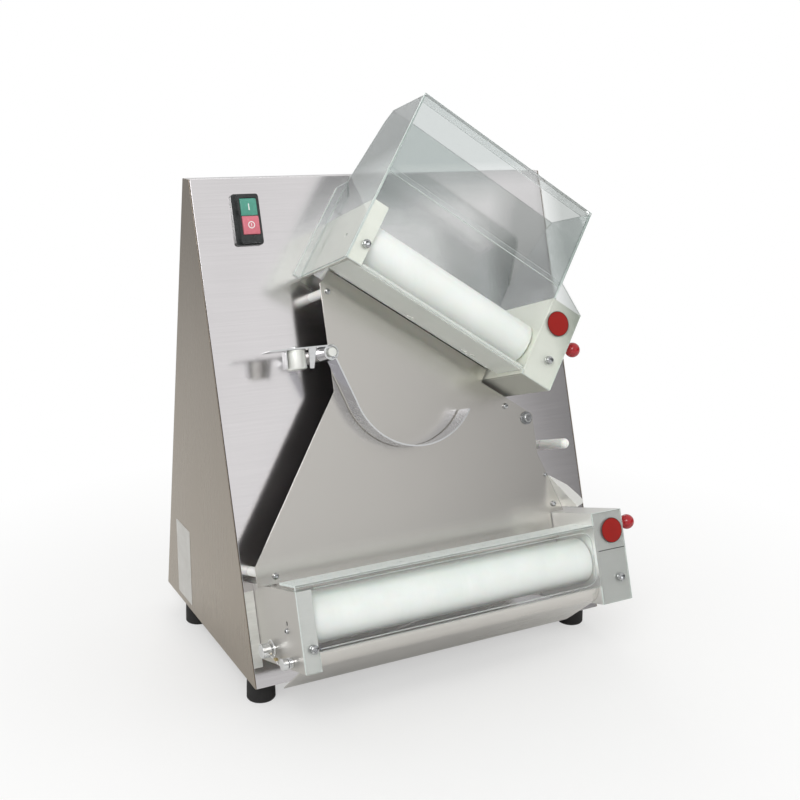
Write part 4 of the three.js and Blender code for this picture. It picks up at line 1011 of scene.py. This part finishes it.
class SHEETER_OT_lower_guard(SheeterOperator, Operator):
    """Builds the clear front guard of the lower rollers and the rounded tray"""

    bl_idname = "sheeter.lower_guard"
    bl_label = "Lower guard"

    def execute(self, context):
        given = context.scene.sheeter_guard
        place = LOWER["place"]
        inner, end = LOWER["inner"], LOWER["end"]
        low, high = LOWER["box"]
        top, sill, sheet_back = 103.0, 22.0, 95.0
        back = METAL_FRONT + GAP
        front = [
            (0, 0), (20, 0), (20, sill), (inner, sill), (inner, low), (end, low), (end, high),
            (inner, high), (inner, top), (0, top),
        ]
        clear, edge, milky = range(3)
        sheet = (0, top - GUARD_WALL, sheet_back), (inner - GAP, top, back - JOINT)
        bm = bmesh.new()
        plate(bm, front, back, UNIT_DEPTH, material=clear, rim=edge)
        block(bm, *sheet, material=milky, rim=edge)
        add_piece(
            "lower_guard_panels", bm, place, [CLEAR_ACRYLIC, ACRYLIC_EDGE, MILKY_ACRYLIC],
            nodes=["lower_guard"], slot="clear_plastic", edge=0.35, segments=1,
        )
        corner = given.window_radius * MM
        left, right, low, high = 21.0, inner - 6, 26.0, 96.0
        window = [(left, low), *arc((right - corner, low + corner), corner, -90, 0, 10)]
        window += [*arc((right - corner, high - corner), corner, 0, 90, 10), (left, high)]
        window = [(x, y, UNIT_DEPTH) for x, y in window]
        grow_wire(
            "guard_window_ridge", window, given.ridge * MM, place, CLEAR_ACRYLIC, slot="clear_plastic"
        )
        radius, out = 22.0, METAL_FRONT - 3.0 - GAP
        bend = arc((radius, out - radius), radius, 90, 156, 28)
        (up, last), foot = bend[-1], 55.0
        path = [*bend, (up - (last - foot) * tan(radians(24)), foot)]
        bm = bmesh.new()
        plate(bm, strip(path, -1.5), CHEEK_CLEAR, inner - GAP, ACROSS_X)
        add_piece(
            "tray_sheet", bm, place, [TRAY_STEEL], nodes=["lower_tray"], slot="polished_steel", edge=0.3,
            sharp=25,
        )
        return {"FINISHED"}


class SHEETER_OT_gap_setting(SheeterOperator, Operator):
    """Builds the ball knobs of the gap levers, the red discs and the cover seam"""

    bl_idname = "sheeter.gap_setting"
    bl_label = "Gap setting"

    def execute(self, context):
        radius = context.scene.sheeter_rollers.knob_radius * MM
        disc = context.scene.sheeter_rollers.disc_radius * MM
        for unit in UNITS:
            name, place, end = unit["name"], unit["place"], unit["end"]
            turn = radians(unit["lever"])
            up = unit["roller"] + LEVER_RISE + LEVER_REACH * sin(turn)
            out = FRONT_OUT + LEVER_REACH * cos(turn)
            start = end + LEVER_FRONT + GAP
            middle = start + 1.0 + radius
            ball = arc((middle, 0), radius, 150, 0, 20)
            ball = [(start, 0), (start, 4.2), (start + 0.5, 5.0), *ball[:-1], (middle + radius, 0)]
            pin = [(end + GAP, 0), (end + GAP, 3), (start + 0.2, 3), (start + 0.2, 0)]
            node = name + "_gap_knob"
            add_turned(
                node + "_ball", (ball, pin), place @ at(0, up, out) @ ALONG_X, [KNOB_RED, MACHINED_STEEL],
                (40, 24), nodes=[node], slot="red_knob_plastic", sharp=40,
            )
            face = [(0.0, 0), (0.0, disc), (0.35, disc - 0.1), (0.45, disc - 0.5), (0.45, 0)]
            rim = [(0.0, disc), (0.0, disc + 0.7), (0.25, disc + 0.6), (0.25, disc)]
            add_turned(
                name + "_red_disc", (face, rim), place @ at(*unit["disc"], UNIT_DEPTH),
                [DISC_RED, BLACK_RUBBER], (64, 64), slot="red_plastic",
            )
        bm = bmesh.new()
        block(bm, (LOWER["inner"] + 4, 67.0, METAL_FRONT), (LOWER["end"] - 1, 67.9, METAL_FRONT + 0.25))
        add_piece("lower_cover_seam", bm, LOWER["place"], [BLACK_RUBBER], slot="black_rubber")
        return {"FINISHED"}


class SHEETER_OT_slide_pins(SheeterOperator, Operator):
    """Turns the white posts of the slide plate and its guide pin, and folds its fin"""

    bl_idname = "sheeter.slide_pins"
    bl_label = "Slide pins"

    def execute(self, context):
        self.make_fin()
        post = [(0.3, 0), (0.3, 6), (49.2, 6), (49.7, 5.5), (49.7, 0)]
        pin = [(0.3, 0), (0.3, 7.0), *arc((52.0, 0), 7.0, 90, 0, 10)[:-1], (59, 0)]
        shapes = [(name, post, spot) for name, spot in POSTS.items()]
        for name, profile, spot in [*shapes, ("guide_pin", pin, GUIDE_PIN_AT)]:
            add_turned(
                name + "_turned", [profile], FACE @ at(*spot, 0), [WHITE_PLASTIC], [32], nodes=[name],
                slot="white_nylon",
            )
        return {"FINISHED"}

    def make_fin(self):
        """The folded fin at the plate's lower right: a wedge that stands up, and its flange."""
        foot = SLIDE_FRONT + GAP
        waist = Vector((175.0, 205.0, foot))
        along = (Vector((193.0, 155.5, foot)) - waist).normalized()
        fin = FACE @ frame_of(along, Vector((0, 0, 1)).cross(along), (0, 0, 1), waist)
        reach, height, sheet = 49.0, 36.0, 1.5
        bm = bmesh.new()
        upright = frame_of((1, 0, 0), (0, 0, 1), (0, -1, 0))
        plate(bm, [(0, 0), (reach, 0), (reach, height)], -sheet, 0, fin @ upright)
        crest = hypot(reach, height)
        rising = Vector((reach, 0, height)) / crest
        tilted = frame_of(rising, (0, 1, 0), rising.cross(Vector((0, 1, 0))))
        flange = [(0, 0), (crest, 0), *arc((crest - 6, 7.6), 6, 0, 90, 6), (47, 13.6), (27, 11.5), (3, 1.7)]
        plate(bm, flange, 0.1, sheet, fin @ tilted)
        add_piece(
            "fin_folded", bm, Matrix(), [UNIT_STEEL["lower"]], nodes=["slide_fin"], slot="polished_steel",
            edge=0.3,
        )


class SHEETER_OT_balance_arm(SheeterOperator, Operator):
    """Builds the balance arm, its counterweight and its pivot post"""

    bl_idname = "sheeter.balance_arm"
    bl_label = "Balance arm"

    def execute(self, context):
        pivot = FACE @ at(*PIVOT_AT, 0)
        back, front = ARM_BACK, ARM_FRONT
        blade = rounded((-218.7, 411.0), (-136.0, 413.0), 0.9, 3)
        tab = [(-167.0, 411.5), (-168.2, 386.5), (-163.0, 386.0), (-157.0, 408.0), (-157.0, 411.5)]
        clip = [(-195.6, 411.5), (-196.8, 389.0), (-195.6, 389.0), (-194.4, 411.5)]
        band = [(-133.0, 398.5), *arc((-26, 363), 89, 195, 325, 56)]
        hub = [
            (back, 5.3), (back, 9.4), (back + 0.6, 10), (front - 0.6, 10), (front, 9.4), (front, 8.0),
            (front - 5, 8.0), (front - 5, 5.3),
        ]
        bm = bmesh.new()
        turned(bm, hub, pivot, steps=40)
        plate(bm, blade, back, front, FACE)
        plate(bm, tab, 78, 79.5, FACE)
        plate(bm, clip, 62, 76, FACE)
        plate(bm, strip(band, 2.0), back, front, FACE, rim=1)
        add_piece(
            "arm_band", bm, Matrix(), [BRIGHT_STEEL, SPRING_STEEL], nodes=["balance_arm"],
            slot="polished_steel", edge=0.4, sharp=25,
        )
        top, bottom = 410.7, 386.7
        weight = [
            (bottom, 0), (bottom, 11.2), (bottom + 1.0, 12.3), (bottom + 2.6, 12.7), (top - 3.0, 12.7),
            (top - 2.4, 12.3), (top - 1.6, 12.3), (top - 1.0, 12.8), (top, 12.8), (top, 0),
        ]
        add_turned(
            "counterweight_turned", [weight], FACE @ at(WEIGHT_X, 0, (back + front) / 2) @ UPRIGHT,
            [TURNED_ALUMINIUM], [48], nodes=["counterweight"], slot="machined_steel", sharp=30,
        )
        post = [(0.3, 0), (0.3, 8), (54.2, 8), (54.7, 7.5), (54.7, 5), (77.2, 5), (77.2, 0)]
        cap = [(77.1, 0), (77.1, 5.7), (84.4, 5.7), (85.2, 5.2), (85.2, 0)]
        add_turned(
            "arm_post_turned", (post, cap), pivot, [MACHINED_STEEL, TURNED_ALUMINIUM], (40, 40),
            nodes=["arm_pivot_post"], slot="machined_steel", sharp=30,
        )
        return {"FINISHED"}


class SHEETER_OT_retainer(SheeterOperator, Operator):
    """Builds the knurled retaining knob, the lock stud and their wire"""

    bl_idname = "sheeter.retainer"
    bl_label = "Retainer"

    def execute(self, context):
        given = context.scene.sheeter_retainer
        place = LOWER["place"]
        knob = [
            (-18.3, 0), (-18.3, 7.4), (-17.5, 8.5), (-7.1, 8.5), (-6.3, 7.6), (-6.3, 7.0), (-0.3, 7.0),
            (-0.3, 3), (12, 3), (12, 0),
        ]
        bm = bmesh.new()
        turned(bm, knob, steps=52)
        rib = bmesh.new()
        block(rib, (8.0, -0.5, -16.9), (9.0, 0.5, -7.4))
        made = grown("ring", finished_mesh(bm, "retaining_knob", 30), {
            "Rib": finished_mesh(rib, "knurl"), "Count": given.knurls, "Finish": BRIGHT_STEEL,
        })
        add_piece(
            "retaining_knob_knurled", made, place @ at(0, *KNOB_AT) @ ALONG_X, [BRIGHT_STEEL],
            nodes=["retaining_knob"], slot="machined_steel",
        )
        stud = [
            (-14.3, 0), (-14.3, 6.6), (-13.6, 7.4), (-8.4, 7.4), (-7.8, 6.8), (-7.8, 5.0), (-3.0, 5.0),
            (-3.0, 6.2), (-0.3, 6.2), (-0.3, 0),
        ]
        add_turned(
            "lock_stud_turned", [stud], place @ at(0, *STUD_AT) @ ALONG_X, [BRIGHT_STEEL], [40],
            nodes=["lock_stud"], slot="machined_steel", sharp=30,
        )
        wire = given.wire_radius * MM
        steps = 20
        hang = [sin(pi * i / steps) for i in range(steps + 1)]
        span = [
            (-4.2 - 1.4 * h, 13.4 - 1.5 * i / steps - 9.0 * h, 55.5 + 46.0 * i / steps)
            for i, h in enumerate(hang)
        ]
        for name, path, closed in (
            ("retainer_eye", ring(11.0, 40, -4.0, *KNOB_AT), True),
            ("stud_eye", ring(6.0, 36, -5.4, *STUD_AT), True),
            ("retainer_wire", span, False),
        ):
            grow_wire(name, path, wire, place, BRIGHT_STEEL, closed=closed)
        sleeve = [(0, 0), (0, 1.9), (0.4, 2.3), (5.6, 2.3), (6, 1.9), (6, 0)]
        add_turned("wire_sleeve", [sleeve], place @ at(-4.9, 8.9, 59.4), [BRASS], [24], slot="machined_steel")
        return {"FINISHED"}


class SHEETER_OT_fasteners(SheeterOperator, Operator):
    """Puts in the screws and bolts"""

    bl_idname = "sheeter.fasteners"
    bl_label = "Fasteners"

    def execute(self, context):
        low_unit, top_unit = LOWER["place"], UPPER["place"]
        fronts = [unit @ at(x, up, UNIT_DEPTH) for unit, x, up in (
            (top_unit, 13, 27), (top_unit, 304, 29.5), (low_unit, 13, 27), (low_unit, 455, 29),
        )]
        back_spots = [(x, up) for x in (-250, 0, 250) for up in (14, 310, 605) if (x, up) != (0, 310)]
        inset, cover_out = 9.0, 14.0
        covers = [
            unit["place"] @ at(unit["end"], up, cover_out) @ ALONG_X
            for unit in UNITS for up in (unit["box"][0] + inset, unit["box"][1] - inset)
        ]
        covers.append(low_unit @ at(0, 46.5, 102.5) @ ALONG_X.inverted())
        on_slide = {
            "slide_screws": (dome_head, [POSTS["upper_left_post"], (-238, 141), (121, 308)], 4.0),
            "slide_bolt": (hex_head, [POSTS["right_post"]], 6.2),
            "fin_screw": (dome_head, [(170.6, 207)], 2.8),
            "plate_screw": (dome_head, [(177.8, 165.4)], 4.0),
        }
        grow_fasteners("guard_screws", dome_head(), fronts, 5.6, SCREW_STEEL)
        for name, (head, spots, size) in on_slide.items():
            places = [FACE @ at(*spot, SLIDE_FRONT) for spot in spots]
            grow_fasteners(name, head(), places, size, SCREW_STEEL)
        on_blade = FACE @ at(WEIGHT_X, 413, (ARM_BACK + ARM_FRONT) / 2) @ UPRIGHT
        grow_fasteners("arm_screw", dome_head(), [on_blade], 3.4, BRIGHT_STEEL, BODY_OF["balance_arm"])
        places = [BACK @ at(*spot, 0) for spot in back_spots]
        grow_fasteners("back_screws", dome_head(), places, 3.8, SCREW_STEEL)
        grow_fasteners("cover_screws", dome_head(), covers, 3.4, SCREW_STEEL)
        return {"FINISHED"}


class SHEETER_OT_stage(SheeterOperator, Operator):
    """Builds the floor, the light and the camera"""

    bl_idname = "sheeter.stage"
    bl_label = "Stage"

    def execute(self, context):
        scene = context.scene
        self.make_floor(scene.sheeter_stage.floor_colour)
        self.make_world(scene)
        self.make_lights()
        self.make_camera(scene)
        scene.view_settings.view_transform = "Standard"
        return {"FINISHED"}

    def make_floor(self, colour):
        """A floor that fades into the white room, and throws back a little less light than it shows."""
        bm = bmesh.new()
        bmesh.ops.create_circle(bm, cap_ends=True, radius=30.0, segments=96)
        mesh = bpy.data.meshes.new("floor")
        bm.to_mesh(mesh)
        bm.free()
        material = bpy.data.materials.new("plain_floor")
        material.use_nodes = True
        tree = material.node_tree
        tree.nodes.clear()
        seen = self.seen_share(tree)
        tone = mix_colours(tree, seen, hex_colour("#DEDEDC"), colour)
        matt = add_node(tree, "ShaderNodeBsdfDiffuse", {"Color": tone}).outputs[0]
        white = add_node(tree, "ShaderNodeEmission", {"Color": (1, 1, 1, 1), "Strength": 1.0}).outputs[0]
        reach = vector_maths(tree, "LENGTH", coordinate(tree, "Object"), output="Value")
        near, far, least = 0.3, 0.9, 0.5
        share = maths(tree, "MULTIPLY", ramp(tree, reach, near, far, least, 1.0), seen)
        add_node(tree, "ShaderNodeOutputMaterial", {"Surface": mix_shaders(tree, share, matt, white)})
        mesh.materials.append(material)
        add_object("floor", mesh)

    def seen_share(self, tree):
        """1 for rays that show the background, and 0 for light and for mirrored rays."""
        path = add_node(tree, "ShaderNodeLightPath").outputs
        direct = maths(tree, "ADD", path["Is Camera Ray"], path["Is Transmission Ray"], clamp=True)
        return maths(tree, "SUBTRACT", direct, self.mirrored_share(tree), clamp=True)

    def mirrored_share(self, tree):
        """1 for rays that a surface has mirrored."""
        depth = add_node(tree, "ShaderNodeLightPath").outputs["Glossy Depth"]
        return maths(tree, "GREATER_THAN", depth, 0.5)

    def make_world(self, scene):
        """A white room for the eye, soft light, and for mirrors a grey flag at the front right."""
        world = scene.world = bpy.data.worlds.new("studio")
        world.use_nodes = True
        tree = world.node_tree
        tree.nodes.clear()
        way = coordinate(tree, "Generated")
        level = vector_maths(tree, "NORMALIZE", vector_maths(tree, "MULTIPLY", way, (1, 1, 0)))
        middle, outer, inner = radians(62), radians(33), radians(24)
        flag_top, skirting_top = (0.29, 0.39), (0.05, 0.19)
        soft_light, wall, grey, skirting_share = 0.6, 0.9, 0.13, 0.6
        near = vector_maths(tree, "DOT_PRODUCT", level, (sin(middle), -cos(middle), 0), output="Value")
        across = ramp(tree, near, cos(outer), cos(inner))
        rise = add_node(tree, "ShaderNodeSeparateXYZ", {0: way}).outputs["Z"]
        flag = maths(tree, "MULTIPLY", across, ramp(tree, rise, *flag_top, 1.0, 0.0))
        skirting = ramp(tree, rise, *skirting_top, skirting_share, 1.0)
        room = maths(tree, "MULTIPLY", ramp(tree, flag, 0.0, 1.0, wall, grey), skirting)
        soft, white, mirrored = (
            add_node(tree, "ShaderNodeBackground", {"Color": (1, 1, 1, 1), "Strength": strength}).outputs[0]
            for strength in (soft_light, 1.0, room)
        )
        lit = mix_shaders(tree, self.mirrored_share(tree), soft, mirrored)
        mixed = mix_shaders(tree, self.seen_share(tree), lit, white)
        add_node(tree, "ShaderNodeOutputWorld", {"Surface": mixed})

    def make_lights(self):
        """Each lamp's place in metres, its width, its power, and whether it shows in mirrors."""
        target = Vector((0, 0, 0.35))
        lamps = {
            "key_light": ((-1.6, -2.2, 2.4), 1.6, 42, True),
            "fill_light": ((2.2, -1.6, 1.2), 1.8, 16, False),
            "rim_light": ((0.4, 2.4, 2.2), 1.6, 18, True),
        }
        for name, (spot, size, power, mirrored) in lamps.items():
            lamp = bpy.data.lights.new(name, "AREA")
            lamp.shape = "DISK"
            lamp.size = size
            lamp.energy = power
            holder = add_object(name, lamp)
            holder.location = spot
            holder.rotation_euler = (Vector(spot) - target).to_track_quat("Z", "Y").to_euler()
            holder.visible_glossy = mirrored
            holder.visible_transmission = mirrored

    def make_camera(self, scene):
        """The photo's camera, as solved from the cabinet's edges."""
        yaw, pitch, roll = radians(28.3), radians(15.1), radians(-0.68)
        forward = Vector((sin(yaw) * cos(pitch), cos(yaw) * cos(pitch), -sin(pitch)))
        level = Vector((cos(yaw), -sin(yaw), 0))
        below = forward.cross(level)
        right = cos(roll) * level + sin(roll) * below
        down = -sin(roll) * level + cos(roll) * below
        camera = bpy.data.cameras.new("camera")
        camera.lens = scene.sheeter_stage.lens
        camera.sensor_width = 36.0
        scene.camera = add_object("camera", camera)
        spot = Vector((-715 + MIDDLE_X, -1206 + FRONT_Y, 753)) / MM
        scene.camera.matrix_world = frame_of(right, -down, -forward, spot)


class SHEETER_PT_panel(Panel):
    """Lists the steps that build the machine"""

    bl_idname = "SHEETER_PT_panel"
    bl_label = "Pizza forming machine"
    bl_space_type = "VIEW_3D"
    bl_region_type = "UI"
    bl_category = "Dough sheeter"

    def draw(self, context):
        for group in GROUPS:
            settings = getattr(context.scene, group)
            box = self.layout.box()
            for name in GROUPS[group].__annotations__:
                box.prop(settings, name)
        for step in STEPS:
            self.layout.operator(step.bl_idname)


GROUPS = {
    "sheeter_cabinet": CabinetSettings,
    "sheeter_rollers": RollerSettings,
    "sheeter_guard": GuardSettings,
    "sheeter_retainer": RetainerSettings,
    "sheeter_stage": StageSettings,
}
STEPS = (
    SHEETER_OT_stage,
    SHEETER_OT_sheet_metal,
    SHEETER_OT_cabinet_trim,
    SHEETER_OT_switch,
    SHEETER_OT_rollers,
    SHEETER_OT_hopper,
    SHEETER_OT_lower_guard,
    SHEETER_OT_gap_setting,
    SHEETER_OT_slide_pins,
    SHEETER_OT_balance_arm,
    SHEETER_OT_retainer,
    SHEETER_OT_fasteners,
)


def register():
    for kind in (*GROUPS.values(), *STEPS, SHEETER_PT_panel):
        bpy.utils.register_class(kind)
    for name, kind in GROUPS.items():
        setattr(bpy.types.Scene, name, PointerProperty(type=kind))


def unregister():
    for name in GROUPS:
        delattr(bpy.types.Scene, name)
    for kind in (SHEETER_PT_panel, *reversed(STEPS), *reversed(GROUPS.values())):
        bpy.utils.unregister_class(kind)


def main():
    register()
    TREES.update(fasteners=fastener_tree(), ring=ring_tree(), louvres=grid_tree(), wire=wire_tree())
    bpy.ops.sheeter.stage()
    bpy.ops.sheeter.sheet_metal()
    bpy.ops.sheeter.cabinet_trim()
    bpy.ops.sheeter.switch()
    bpy.ops.sheeter.rollers()
    bpy.ops.sheeter.hopper()
    bpy.ops.sheeter.lower_guard()
    bpy.ops.sheeter.gap_setting()
    bpy.ops.sheeter.slide_pins()
    bpy.ops.sheeter.balance_arm()
    bpy.ops.sheeter.retainer()
    bpy.ops.sheeter.fasteners()


if __name__ == "__main__":
    main()
